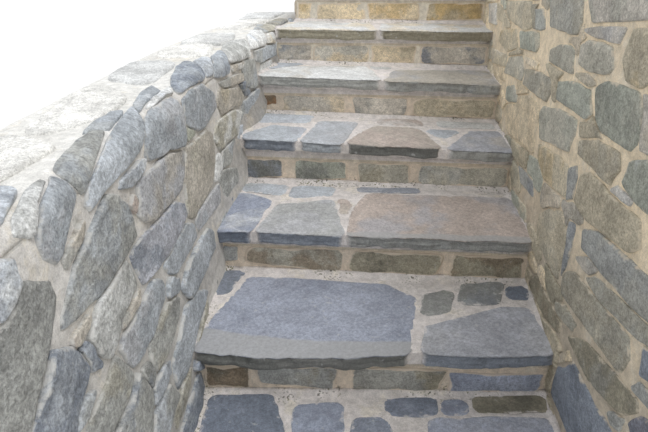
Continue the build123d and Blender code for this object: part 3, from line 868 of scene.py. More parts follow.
skin = {
    "lift": 0.001, "lump": 0.002, "lumpCell": 0.05,
    # Towards the ground the mortar takes the darker leftShadedMortar tone as painted shade
    "tone": "leftMortar", "damp": "leftShadedMortar", "dampHeight": (0.95, 0.35),
}
leftFace = {
    "skin": skin, "joint": 0.012, "spill": 0.005, "grow": 0.05, "growth": 3.2, "leastArea": 0.0022,
    "scatter": 0.012, "wobble": 0.018, "ringPack": 1.6,
    "stand": (0.010, 0.019), "lean": 0.004, "crown": 0.001, "facet": 0.009, "noise": 0.0048,
    "noiseCell": 0.045, "least": 0.006, "edge": 0.0055, "root": 0.012, "rimWidth": 0.026,
    # paler is how much paler the stones are painted at the head of the flight, as painted light
    "shade": 0.05, "gain": 1.2, "paler": 0.35,
    "courseHeight": (0.055, 0.125), "stoneLength": (0.13, 0.30), "tiltSpread": 5, "tilt": 2,
    "tones": ["blueGrey", "slate", "paleBlue", "grey", "oliveGrey", "pale", "blueGrey"],
    # tone, patch and outline of each stone that shows, in the photograph's pixels
    "traced": {
        "edgeGrey": ("grey", "blueGrey", [
            (93, 134), (103, 133), (96, 152), (86, 176), (81, 193), (61, 180), (55, 171), (75, 148)]),
        "longBlue": ("blueGrey", "paleBlue", [
            (133, 110), (139, 120), (140, 144), (130, 160), (101, 190), (88, 210), (83, 207), (84, 193),
            (92, 178), (108, 141)]),
        "bentStone": ("blueGrey", "silver", [
            (50, 179), (60, 180), (73, 193), (70, 208), (62, 247), (54, 262), (42, 258), (33, 232),
            (39, 205)]),
        "paleShoulder": ("pale", "grey", [
            (40, 182), (46, 182), (36, 205), (30, 236), (14, 235), (12, 222), (28, 193)]),
        "thinWarm": ("warmGrey", "grey", [(79, 222), (78, 240), (64, 267), (61, 262), (66, 248)]),
        "bigGrey": ("grey", "stoneGrey", [
            (20, 283), (47, 283), (53, 297), (47, 345), (33, 392), (22, 440), (-20, 440), (-10, 340),
            (8, 310)]),
        "edgePale": ("paleBlue", "pale", [(-8, 262), (8, 262), (14, 285), (8, 305), (-2, 325), (-14, 320)]),
        "bigMiddle": ("grey", "blueGrey", [
            (103, 197), (113, 196), (122, 203), (132, 236), (122, 256), (98, 294), (61, 329), (60, 318),
            (74, 264), (85, 238)]),
        "smallPale": ("paleBlue", "pale", [
            (142, 160), (140, 170), (128, 186), (118, 188), (119, 182), (135, 163)]),
        "warmSpeck": ("pinkBrown", "warmGrey", [(130, 196), (135, 203), (133, 212), (129, 206)]),
        "greyWedge": ("grey", "pale", [
            (124, 262), (129, 266), (134, 285), (121, 312), (106, 357), (93, 356), (86, 338), (97, 299)]),
        "warmSliver": ("warmGrey", "grey", [(136, 290), (135, 300), (121, 327), (118, 322)]),
        "slateChip": ("slate", "paleBlue", [(80, 343), (88, 345), (98, 367), (90, 370), (76, 350)]),
        "lowChip": ("warmGrey", "pinkBrown", [(85, 316), (84, 325), (76, 345), (70, 347), (69, 340)]),
        "darkBlock": ("slate", "paleBlue", [
            (48, 352), (66, 349), (76, 354), (83, 366), (68, 440), (27, 440), (42, 390)]),
        "paleSliver": ("paleBlue", "grey", [(90, 392), (84, 418), (74, 436), (74, 420), (82, 400)]),
        "leaningBlock": ("grey", "oliveGrey", [
            (112, 357), (131, 376), (128, 394), (108, 434), (84, 440), (90, 418), (105, 385)]),
        "blueWedge": ("blueGrey", "silver", [
            (152, 279), (160, 281), (165, 292), (150, 335), (132, 369), (118, 353), (122, 336)]),
        "greyChip": ("grey", "slate", [(140, 370), (147, 362), (152, 372), (149, 388), (140, 380)]),
        "lowWedge": ("grey", "oliveGrey", [
            (168, 297), (178, 298), (178, 312), (165, 352), (155, 372), (148, 364), (148, 345)]),
        "paleLow": ("paleBlue", "blueGrey", [(169, 362), (170, 372), (152, 404), (150, 390), (162, 366)]),
        "blueLow": ("blueGrey", "paleBlue", [
            (195, 291), (205, 291), (200, 310), (189, 360), (177, 391), (171, 365), (184, 308)]),
        "slateFoot": ("grey", "slate", [
            (133, 373), (142, 378), (151, 395), (147, 440), (112, 440), (127, 400)]),
        "greyFoot": ("grey", "paleBlue", [(165, 385), (178, 395), (160, 440), (150, 440), (153, 415)]),
        "narrowFoot": ("oliveGrey", "grey", [(190, 368), (188, 385), (176, 428), (171, 415), (182, 382)]),
        "slateEnd": ("slate", "blueGrey", [
            (203, 372), (204, 385), (191, 440), (178, 440), (189, 400), (197, 374)]),
        "upperSlate": ("blueGrey", "silver", [
            (167, 98), (174, 103), (182, 132), (179, 147), (148, 160), (143, 156), (142, 119)]),
        "edgeBlue": ("blueGrey", "pale", [
            (152, 87), (160, 92), (145, 105), (137, 114), (134, 106), (141, 96)]),
        "edgePaleFar": ("pale", "paleBlue", [(171, 90), (170, 96), (152, 108), (146, 109), (150, 102)]),
        "twoHumped": ("slate", "blueGrey", [
            (172, 80), (178, 70), (186, 65), (196, 68), (204, 76), (200, 82), (178, 94), (172, 92)]),
        "capPale": ("paleBlue", "pale", [(194, 66), (202, 61), (209, 60), (211, 75), (205, 77)]),
        "capBlue": ("blueGrey", "slate", [(210, 60), (221, 53), (226, 73), (220, 77), (212, 77)]),
        "capHump": ("pale", "grey", [(221, 55), (225, 46), (244, 40), (248, 50), (248, 57), (226, 64)]),
        "capFar": ("pale", "paleBlue", [(247, 38), (252, 33), (261, 32), (264, 40), (262, 46), (249, 49)]),
        "capFarthest": ("pale", "tan", [(266, 36), (272, 34), (275, 38), (274, 42), (266, 42)]),
        "blueFar": ("blueGrey", "grey", [(253, 52), (262, 47), (274, 45), (275, 54), (258, 62), (253, 60)]),
        "greyFar": ("grey", "blueGrey", [(244, 60), (252, 59), (256, 84), (252, 88), (245, 86), (241, 70)]),
        "warmFar": ("warmGrey", "grey", [(242, 74), (241, 80), (222, 88), (218, 84), (232, 76)]),
        "warmThin": ("warmGrey", "pale", [(230, 66), (242, 62), (243, 66), (231, 71)]),
        "khakiFar": ("warmGrey", "khaki", [
            (218, 90), (238, 88), (242, 96), (240, 103), (220, 115), (215, 102)]),
        "hollowSlate": ("blueGrey", "silver", [
            (190, 90), (200, 84), (214, 95), (216, 105), (203, 127), (192, 132), (184, 128), (181, 100)]),
        "greenBelow": ("greenGrey", "grey", [(183, 124), (194, 130), (190, 136), (185, 141), (182, 134)]),
        "blueFall": ("blueGrey", "grey", [
            (256, 88), (260, 98), (259, 110), (244, 123), (240, 120), (241, 104)]),
        "oliveFall": ("oliveGrey", "pale", [
            (232, 109), (240, 112), (235, 135), (219, 150), (213, 138), (215, 124)]),
        "greyFall": ("grey", "blueGrey", [(233, 138), (237, 148), (228, 163), (221, 168), (220, 152)]),
        "smoothSlab": ("warmGrey", "oliveGrey", [
            (205, 129), (211, 135), (214, 160), (211, 184), (194, 217), (186, 220), (182, 170),
            (184, 150)]),
        "greyNarrow": ("grey", "pale", [
            (222, 170), (232, 168), (235, 180), (224, 197), (219, 199), (217, 180)]),
        "paleBlock": ("silver", "warmGrey", [
            (168, 151), (180, 150), (183, 165), (180, 188), (157, 217), (146, 221), (136, 216),
            (134, 186)]),
        "scratchedSlate": ("lavender", "slate", [
            (171, 202), (180, 204), (184, 214), (171, 247), (141, 286), (130, 256), (131, 249),
            (152, 226)]),
        "paleRise": ("paleBlue", "blueGrey", [
            (187, 222), (194, 226), (196, 235), (173, 276), (163, 268), (176, 238)]),
        "silverRise": ("silver", "blueGrey", [(218, 182), (219, 200), (197, 231), (194, 226), (195, 215)]),
        "crackedBlue": ("blueGrey", "paleBlue", [
            (205, 228), (211, 232), (213, 245), (197, 282), (188, 298), (180, 290), (187, 262)]),
        "warmChip": ("warmGrey", "grey", [(218, 256), (221, 264), (203, 282), (202, 276)]),
        "blueChip": ("blueGrey", "grey", [(168, 278), (175, 279), (178, 288), (168, 303), (165, 292)]),
    },
}


def dressWall(name, place, stones, limits, look, seed, detail, material, slot, size, start=(0.0, 0.0),
              surface=None, edges=None):
    # One face of a wall: its stones and the mortar between them
    stoneShell, mortarShell = Shell(), Shell()
    columns, rings, spacing = detail
    kept = settle(stones, limits, look, surface)
    fitted = fitOutlines(kept, limits, look, columns)
    dressFace(stoneShell, list(zip(kept, fitted)), place, look, seed, rings)
    stoneShell.finish(name + "Stones", material, slot)
    mortarSheet(mortarShell, place, *size, spacing, look["skin"], seed + 40, start, edges=edges)
    mortarShell.finish(name + "Mortar", mortar, "bedding_mortar")
    print(name, len(kept), "stones, triangles so far", made["triangles"])


# Points round a stone, rings over it and the spacing of the mortar's grid
fine, plain = (44, 9, 0.015), (26, 6, 0.03)
# The coping stones are painted near white, chalk tones raised by gain 1.35, as painted sunlight on the wall's
# top
coping = {
    **leftFace, "skin": {**skin, "tone": "chalk"}, "tones": ["pale", "chalk", "chalk", "chalk", "pale"],
    "courseHeight": (0.15, 0.22), "stoneLength": (0.20, 0.42), "stand": (0.008, 0.016), "edge": 0.010,
    "gain": 1.35, "paler": 0.0,
}
topMortar = {"spacing": 0.016, "points": 44, "thickness": 0.05, "seam": 0.002, "seed": 51}
leftRandom = np.random.default_rng(5)
leftRows = tracedStones(leftFace["traced"], onLeftFace)
leftRows += fillingStones((0, 0), (wallRun, shoulderRun[-1]), leftFace, leftRandom)
leftRows += fillingStones((0, shoulderRun[-1] + 0.02), (wallRun, copingEnd), coping, leftRandom)
leftLimits = [((0, 1), copingEnd), ((0, -1), 0), ((-1, 0), 0), ((1, 0), wallRun)]
leftKept = settle(leftRows, leftLimits, leftFace, lambda u: stairSurface(wallStartY + u))
leftFitted = list(zip(leftKept, fitOutlines(leftKept, leftLimits, leftFace, fine[0])))
leftShare = (leftStone, "blue_wall_stone")
capShare = (capStone, "capping_stone", ("left_wall_capstones",))
for name, look, low, high, finish in (
        ("leftWallFaceStones", leftFace, 0, shoulderStart, leftShare),
        ("leftShoulderStones", leftFace, shoulderStart, shoulderRun[-1], leftShare),
        ("leftCopingStones", coping, shoulderRun[-1], copingEnd, capShare)):
    shell = Shell()
    chosen = [pair for pair in leftFitted if low < pair[0]["middle"][1] <= high]
    dressFace(shell, chosen, leftInner, look, 11, fine[1])
    shell.finish(name, *finish)
shell = Shell()
mortarSheet(shell, leftInner, wallRun, leftHeight + 0.014, fine[2], skin, topMortar["seed"])
shell.finish("leftWallFaceMortar", mortar, "bedding_mortar")

# The mortar of the humped top: rings round its section, one after another along the wall
shell = Shell()
alongWall = np.linspace(sheet["slack"], wallRun - sheet["slack"], int(wallRun / topMortar["spacing"]))
roundSection = np.linspace(leftHeight, copingEnd, topMortar["points"])
u, v = np.meshgrid(alongWall, roundSection, indexing="ij")
spot = np.stack([u, v, np.full(u.shape, topMortar["seed"] * 1.3)], -1)
lift = skin["lift"] + skin["lump"] * roughNoise(spot, skin["lumpCell"], topMortar["seed"], 3)
upper = leftInner(u, v, lift)
under = np.stack([leftInner(alongWall, np.full(len(alongWall), height), -topMortar["thickness"])
                  for height in (copingEnd, leftHeight)], 1)
under[..., 2] = leftHeight - topMortar["seam"]
grid = np.concatenate([upper, under], 1)
# Over the top the mortar turns to chalk as painted sunlight on the humped top
paintedSunlight = stepUp(shoulderRun[4], shoulderRun[-1] + 0.02, np.append(roundSection, (copingEnd, leftHeight)))
paintedSunlight = paintedSunlight[None, :, None]
tone = linear("leftMortar") * (1 - paintedSunlight) + linear("chalk") * coping["gain"] * paintedSunlight
shell.addRound(grid, {"tone": tone * np.ones(grid.shape), "dirt": np.zeros(grid.shape[:2])})
shell.finish("leftCopingMortar", mortar, "bedding_mortar", ("left_wall_capstones",))
print("left wall", len(leftKept), "stones, triangles so far", made["triangles"])

# Right wall: upright, in warmer stone, its warm stones and mortar partly their own colour and partly painted
# warm light reflected from the sunlit top, with courses that fall a little up the flight and mortar that lies
# nearly flush with the stones

rightFace = {
    **leftFace, "skin": {**skin, "tone": "rightMortar", "damp": "rightShadedMortar", "lift": 0.002, "lump": 0.0025},
    "stand": (0.005, 0.010), "lean": 0.002, "crown": 0.002, "facet": 0.006, "noise": 0.005, "least": 0.0065,
    "edge": 0.005, "rimWidth": 0.024, "joint": 0.010, "spill": 0.005, "leastArea": 0.003,
    "gain": 1.05, "paler": 0.8,
    "courseHeight": (0.07, 0.13), "stoneLength": (0.14, 0.34), "tilt": -5, "tiltSpread": 3,
    "tones": ["khaki", "oliveGrey", "tan", "olive", "khaki", "warmGrey", "khaki", "greenGrey", "tan"],
    "traced": {
        "paleEdge": ("warmGrey", "grey", [(490, 4), (498, 4), (498, 24), (490, 22)]),
        "khakiTop": ("khaki", "oliveGrey", [
            (508, 2), (533, 2), (533, 28), (527, 30), (512, 20), (508, 12)]),
        "narrowTop": ("grey", "greenGrey", [(538, 10), (545, 10), (546, 28), (539, 30)]),
        "greenTop": ("oliveGrey", "grey", [
            (552, -6), (586, -6), (584, 22), (580, 33), (572, 33), (552, 26)]),
        "paleSlab": ("warmGrey", "greenGrey", [(591, -20), (660, -20), (660, 17), (620, 20), (594, 22)]),
        "warmStrip": ("warmGrey", "silver", [(587, 30), (600, 28), (628, 29), (621, 42), (600, 38)]),
        "khakiEdge": ("khaki", "ochre", [(636, 31), (660, 28), (660, 80), (642, 87), (628, 80), (625, 60)]),
        "ochreTop": ("khaki", "ochre", [(502, 31), (518, 30), (519, 47), (508, 51), (500, 40)]),
        "greenSquare": ("greenGrey", "khaki", [(522, 32), (540, 33), (540, 47), (537, 51), (522, 47)]),
        "roundDark": ("oliveGrey", "greenGrey", [
            (552, 51), (560, 46), (573, 47), (576, 52), (574, 73), (563, 68), (551, 60)]),
        "roundGrey": ("oliveGrey", "warmGrey", [
            (583, 46), (592, 42), (606, 43), (614, 50), (615, 68), (609, 74), (590, 70), (580, 62)]),
        "khakiSmall": ("khaki", "warmGrey", [(492, 48), (508, 56), (507, 66), (493, 62)]),
        "oliveSquare": ("oliveGrey", "khaki", [(510, 58), (523, 57), (526, 68), (523, 80), (506, 72)]),
        "paleTriangle": ("paleTan", "warmGrey", [(526, 57), (540, 64), (539, 69), (527, 62)]),
        "olivePair": ("oliveGrey", "khaki", [
            (527, 70), (540, 72), (552, 80), (552, 93), (547, 101), (524, 83)]),
        "greenBlock": ("greenGrey", "grey", [
            (560, 82), (575, 83), (592, 90), (593, 114), (588, 118), (558, 98)]),
        "bigGreen": ("greenGrey", "oliveGrey", [
            (598, 88), (610, 82), (641, 93), (645, 105), (640, 146), (632, 150), (605, 133), (597, 118)]),
        "smallWedge": ("khaki", "warmGrey", [(578, 74), (590, 75), (597, 84), (589, 87)]),
        "farRight": ("warmGrey", "khaki", [(646, 96), (665, 104), (665, 162), (644, 150)]),
        "greenSmall": ("greenGrey", "warmGrey", [(508, 87), (515, 86), (521, 106), (517, 108), (507, 98)]),
        "tanBlock": ("tan", "khaki", [
            (520, 97), (530, 96), (540, 106), (539, 122), (534, 153), (507, 130), (506, 107)]),
        "mottled": ("oliveGrey", "greenGrey", [
            (545, 107), (560, 110), (578, 120), (577, 136), (570, 151), (541, 138), (541, 113)]),
        "khakiBand": ("khaki", "oliveGrey", [
            (581, 142), (600, 142), (621, 154), (621, 170), (612, 184), (580, 153)]),
        "khakiBlock": ("khaki", "ochre", [
            (540, 145), (560, 157), (569, 166), (567, 197), (545, 178), (539, 155)]),
        "greyEdge": ("grey", "slate", [(571, 169), (578, 167), (579, 176), (574, 198), (568, 199)]),
        "smallLeft": ("grey", "slate", [(520, 166), (534, 182), (534, 196), (522, 182)]),
        "longKhaki": ("khaki", "olive", [
            (581, 175), (592, 174), (642, 222), (641, 248), (630, 251), (590, 220), (577, 200)]),
        "greenRight": ("greenGrey", "silver", [(626, 182), (634, 163), (665, 160), (665, 222), (640, 203)]),
        "paleThin": ("warmGrey", "pale", [(611, 191), (620, 187), (634, 201), (631, 205)]),
        "khakiWedge": ("khaki", "oliveGrey", [
            (541, 215), (550, 210), (564, 213), (568, 240), (561, 268), (559, 280), (541, 246),
            (538, 228)]),
        "greySliver": ("grey", "slate", [(571, 222), (577, 226), (572, 250), (563, 276), (566, 250)]),
        "broadBand": ("grey", "oliveGrey", [
            (583, 230), (600, 233), (665, 292), (665, 336), (600, 268), (582, 245)]),
        "paleChip": ("warmGrey", "grey", [(578, 258), (590, 258), (600, 270), (590, 276)]),
        "longGrey": ("oliveGrey", "grey", [(588, 277), (597, 277), (665, 342), (665, 362), (600, 300)]),
        "longOlive": ("oliveGrey", "khaki", [
            (564, 273), (576, 273), (632, 340), (632, 360), (622, 373), (590, 330), (563, 292)]),
        "lowGrey": ("olive", "grey", [
            (570, 337), (588, 343), (640, 402), (640, 413), (624, 416), (590, 380)]),
        "chipLeft": ("oliveGrey", "olive", [(557, 303), (566, 306), (577, 325), (574, 330), (558, 313)]),
        "brownStrip": ("olive", "brown", [(530, 282), (538, 276), (562, 324), (560, 332), (545, 315)]),
        "greyCorner": ("grey", "purple", [(634, 388), (641, 384), (665, 408), (665, 424)]),
        "purpleCorner": ("slate", "purple", [(646, 345), (668, 366), (668, 392), (642, 374)]),
        "darkFoot": ("slate", "darkBlue", [
            (560, 366), (575, 363), (584, 383), (620, 445), (577, 450), (552, 392)]),
        "tanChip": ("tan", "warmGrey", [(561, 356), (570, 352), (573, 361), (561, 363)]),
        "greyToe": ("grey", "oliveGrey", [(612, 413), (626, 418), (621, 431), (614, 424)]),
        "darkCorner": ("darkBlue", "purple", [(631, 425), (641, 416), (668, 436), (668, 470), (640, 460)]),
    },
}
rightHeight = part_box("right_wall")[1].z
rightInner = flatFace((rightLow.x, rightLow.y, 0), (0, 1, 0), (-1, 0, 0))


def onRightFace(pixels):
    # Where the lines of sight meet the right wall's face, as u and v
    rays = sight(pixels)
    spot = eye + ((rightLow.x - eye[0]) / rays[:, :1]) * rays
    return np.stack([spot[:, 1] - wallStartY, spot[:, 2]], -1)


rightRandom = np.random.default_rng(8)
rightRows = tracedStones(rightFace["traced"], onRightFace)
rightRows += fillingStones((0, 0), (wallRun, rightHeight), rightFace, rightRandom)
rightLimits = [((0, 1), rightHeight), ((0, -1), 0), ((-1, 0), 0), ((1, 0), wallRun)]
rightShare = (rightStone, "tan_wall_stone")
dressWall("rightWallFace", rightInner, rightRows, rightLimits, rightFace, 12, fine, *rightShare,
          (wallRun, rightHeight), surface=lambda u: stairSurface(wallStartY + u))

# Outer faces and ends of the walls, and the masonry that closes the landing

plainLeft = {
    **leftFace, "skin": {**leftFace["skin"], "tone": "leftPlain"}, "tilt": 0, "facet": 0.01,
    "stoneLength": (0.16, 0.34), "courseHeight": (0.07, 0.14), "grow": 0.08, "growth": 5.0,
    "leastArea": 0.004, "paler": 0.1,
}
plainRight = {
    **rightFace, "skin": {**rightFace["skin"], "tone": "rightPlain"}, "tilt": 0,
    "stoneLength": (0.20, 0.42), "courseHeight": (0.08, 0.15), "grow": 0.1, "growth": 5.5,
    "leastArea": 0.006, "paler": 0.15,
}


def plainStones(width, height, look, seed, low=(0.0, 0.0)):
    return fillingStones(low, (low[0] + width, low[1] + height), look, np.random.default_rng(seed))


def square(width, height, low=(0.0, 0.0)):
    # Limit lines of an upright rectangle
    return [((0, 1), low[1] + height), ((0, -1), -low[1]), ((-1, 0), -low[0]), ((1, 0), low[0] + width)]


def plainWall(name, place, width, height, look, seed, material, slot, low=(0.0, 0.0)):
    stones = plainStones(width, height, look, seed, low)
    dressWall(name, place, stones, square(width, height, low), look, seed, plain, material, slot,
              (width, height), low)


def uprightFace(x, y, out):
    # An upright face from the ground at x and y, with `out` as its outward direction on plan
    return flatFace((x, y, 0), (abs(out[1]), abs(out[0]), 0), (*out, 0))


rightThickness = rightHigh.x - rightLow.x
leftEndThickness = leftShape[-1, 1] - leftShape[-1, 3]
for name, place, width, height, look, seed, finish in (
        ("leftWallOuter", leftOuter, wallRun, leftHeight, plainLeft, 14, leftShare),
        ("rightWallOuter", uprightFace(rightHigh.x, wallStartY, (1, 0)), wallRun, rightHeight,
         plainRight, 15, rightShare),
        ("rightWallFoot", uprightFace(rightLow.x, wallStartY, (0, -1)), rightThickness, rightHeight,
         plainRight, 16, rightShare),
        ("rightWallHead", uprightFace(rightLow.x, rightHigh.y, (0, 1)), rightThickness, rightHeight,
         plainRight, 17, rightShare),
        ("leftWallHead", uprightFace(leftShape[-1, 3], rightHigh.y, (0, 1)), leftEndThickness,
         leftHeight, plainLeft, 18, leftShare)):
    plainWall(name, place, width, height, look, seed, *finish)

# The left wall's foot end narrows upwards with the lean of its inner face
footWide, footNarrow = leftShape[0, 1] - leftShape[0, 3], leftShape[0, 2] - leftShape[0, 3]
leanIn = footWide - footNarrow
leanLength = math.hypot(leftHeight, leanIn)
leanLine = ((leftHeight / leanLength, leanIn / leanLength), leftHeight * footWide / leanLength)
leftFootLimits = [((0, 1), leftHeight), ((0, -1), 0), ((-1, 0), 0), leanLine]
dressWall("leftWallFoot", uprightFace(leftShape[0, 3], wallStartY, (0, -1)),
          plainStones(footWide, leftHeight, plainLeft, 19), leftFootLimits, plainLeft, 19, plain, *leftShare,
          (footWide, leftHeight),
          edges=lambda v: (0.0, footWide + (footNarrow - footWide) * v / leftHeight))

# The rear of the landing, and its open left side above the left wall
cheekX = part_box("rear_facing")[0].x
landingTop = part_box("rear_facing")[1].z
rearWidth = rightLow.x - cheekX
rearLook = {
    **plainRight, "tones": ["blueGrey", "khaki", "grey", "oliveGrey", "warmGrey", "slate", "tan"],
    "gain": 1.0, "paler": 0.0,
}
plainWall("rearFacing", uprightFace(cheekX, rightHigh.y, (0, 1)), rearWidth, landingTop, rearLook, 20,
          riserStone, "retaining_stone")
cheekStart = riserY(stepCount, cheekX) - wallStartY
cheekLow = (cheekStart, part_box("left_wall_capstones")[1].z - 0.012)
cheekLook = {
    **rearLook, "courseHeight": (0.05, 0.06), "stoneLength": (0.14, 0.3), "stand": (0.003, 0.006),
    "scatter": 0.003, "leastArea": 0.0012, "joint": 0.012,
}
plainWall("landingCheek", uprightFace(cheekX, wallStartY, (-1, 0)), wallRun - cheekStart,
          landingTop - cheekLow[1], cheekLook, 23, riserStone, "riser_stone", cheekLow)

# Treads: riven flags with worn arrises, pressed into mortar

def evenOutline(outline, spacing):
    # The same closed outline with points a fixed distance apart
    closed = np.concatenate([outline, outline[:1]])
    run = np.concatenate([[0], np.cumsum(np.hypot(*np.diff(closed, axis=0).T))])
    count = max(int(run[-1] / spacing), 16)
    along = np.linspace(0, run[-1], count, endpoint=False)
    return np.stack([np.interp(along, run, closed[:, k]) for k in (0, 1)], -1)


flags = {
    "spacing": 0.009, "rings": (0.08, 0.25, 0.42, 0.58, 0.72, 0.84, 0.92, 0.965, 0.988, 0.998),
    "depths": (0.0012, 0.004, 0.009, 0.015, 0.021, 0.027, 0.033, 0.038, 0.042, 0.0445),
    "arris": 0.007, "sideArris": 0.003, "riven": 0.009, "wander": 0.009, "chip": 0.020, "topRelief": 0.0034,
    "thickness": 0.045, "hang": 0.3, "underside": (0.93, 0.5), "rimWidth": 0.032, "gain": 1.25,
    "overhang": 0.031, "spread": 0.32, "mostSpread": 0.013,
    "nosingReach": (-0.045, -0.02),     # behind the nosing, an edge is brought less and less on to its line
    "nosingShift": (-0.045, 0.03),
    # spacing of each noise: along the edge, finer along the nosing, over the top, of its steps, and so on
    "wanderCell": 0.07, "nosingCell": 0.022, "reliefCell": 0.16, "stepCell": 0.3, "lumpCell": 0.035,
    "chipCell": 0.055, "hangCell": 0.09, "layerCells": ((0.16, 0.16, 0.008), (0.05, 0.05, 0.005)),
    "mortarRecess": 0.0018, "mortarLump": 0.0022, "underFlags": 0.010,
    "bulge": {"tread_2_left_slab": 0.024, "tread_2_right_slab": 0.012},
    # worn strips along the nosing: distance behind it at the slab's left and right ends
    "strips": {"tread_2_left_slab": (0.125, 0.06), "tread_3_right_slab": (0.03, 0.05)},
    # for each tread: top, patch and front edge of the left slab, of the right slab and of the small stones
    # from the left. The front edge tones are dark partly for the riven stone and partly as painted shade,
    # since the fronts get less sky than the tops.
    "tones": {
        1: (("duskBlue", "flagBlue", "darkGrey"), ("flagPale", "lavender", "grey"),
            [("flagBlue", "duskBlue", "slate"), ("slate", "duskBlue", "slate"),
             ("flagBlue", "slate", "slate"), ("duskBlue", "flagBlue", "slate"),
             ("flagBlue", "slate", "slate"), ("olive", "bark", "bark")]),
        2: (("flagPale", "flagBlue", "darkGrey"), ("lavender", "silver", "slate"),
            [("slate", "flagBlue", "slate"), ("stoneGrey", "greenGrey", "slate"),
             ("stoneGrey", "slate", "grey"), ("duskBlue", "darkBlue", "slate")]),
        3: (("flagBlue", "pale", "darkBlue"), ("pinkBrown", "lavender", "stoneGrey"),
            [("paleBlue", "grey", "slate"), ("silver", "grey", "slate"), ("paleBlue", "lavender", "slate"),
             ("pinkBrown", "warmGrey", "bark"), ("lavender", "slate", "slate")]),
        4: (("paleBlue", "lavender", "slate"), ("lavender", "warmGrey", "grey"),
            [("paleBlue", "lavender", "slate"), ("silver", "paleBlue", "blueGrey"),
             ("pinkBrown", "warmGrey", "darkGrey"), ("pinkBrown", "pale", "grey"),
             ("paleBlue", "lavender", "slate"), ("pale", "lavender", "grey")]),
        5: (("pale", "warmGrey", "grey"), ("warmGrey", "lavender", "grey"),
            [("paleBlue", "grey", "grey"), ("pale", "grey", "grey")]),
        6: (("pale", "paleTan", "olive"), ("pale", "paleTan", "olive"),
            [("pale", "tan", "grey"), ("pale", "tan", "grey")]),
        7: (("pale", "paleTan", "oliveGrey"), ("pale", "warmGrey", "grey"),
            [("pale", "tan", "grey"), ("pale", "lavender", "grey"), ("warmGrey", "tan", "grey")]),
    },
}


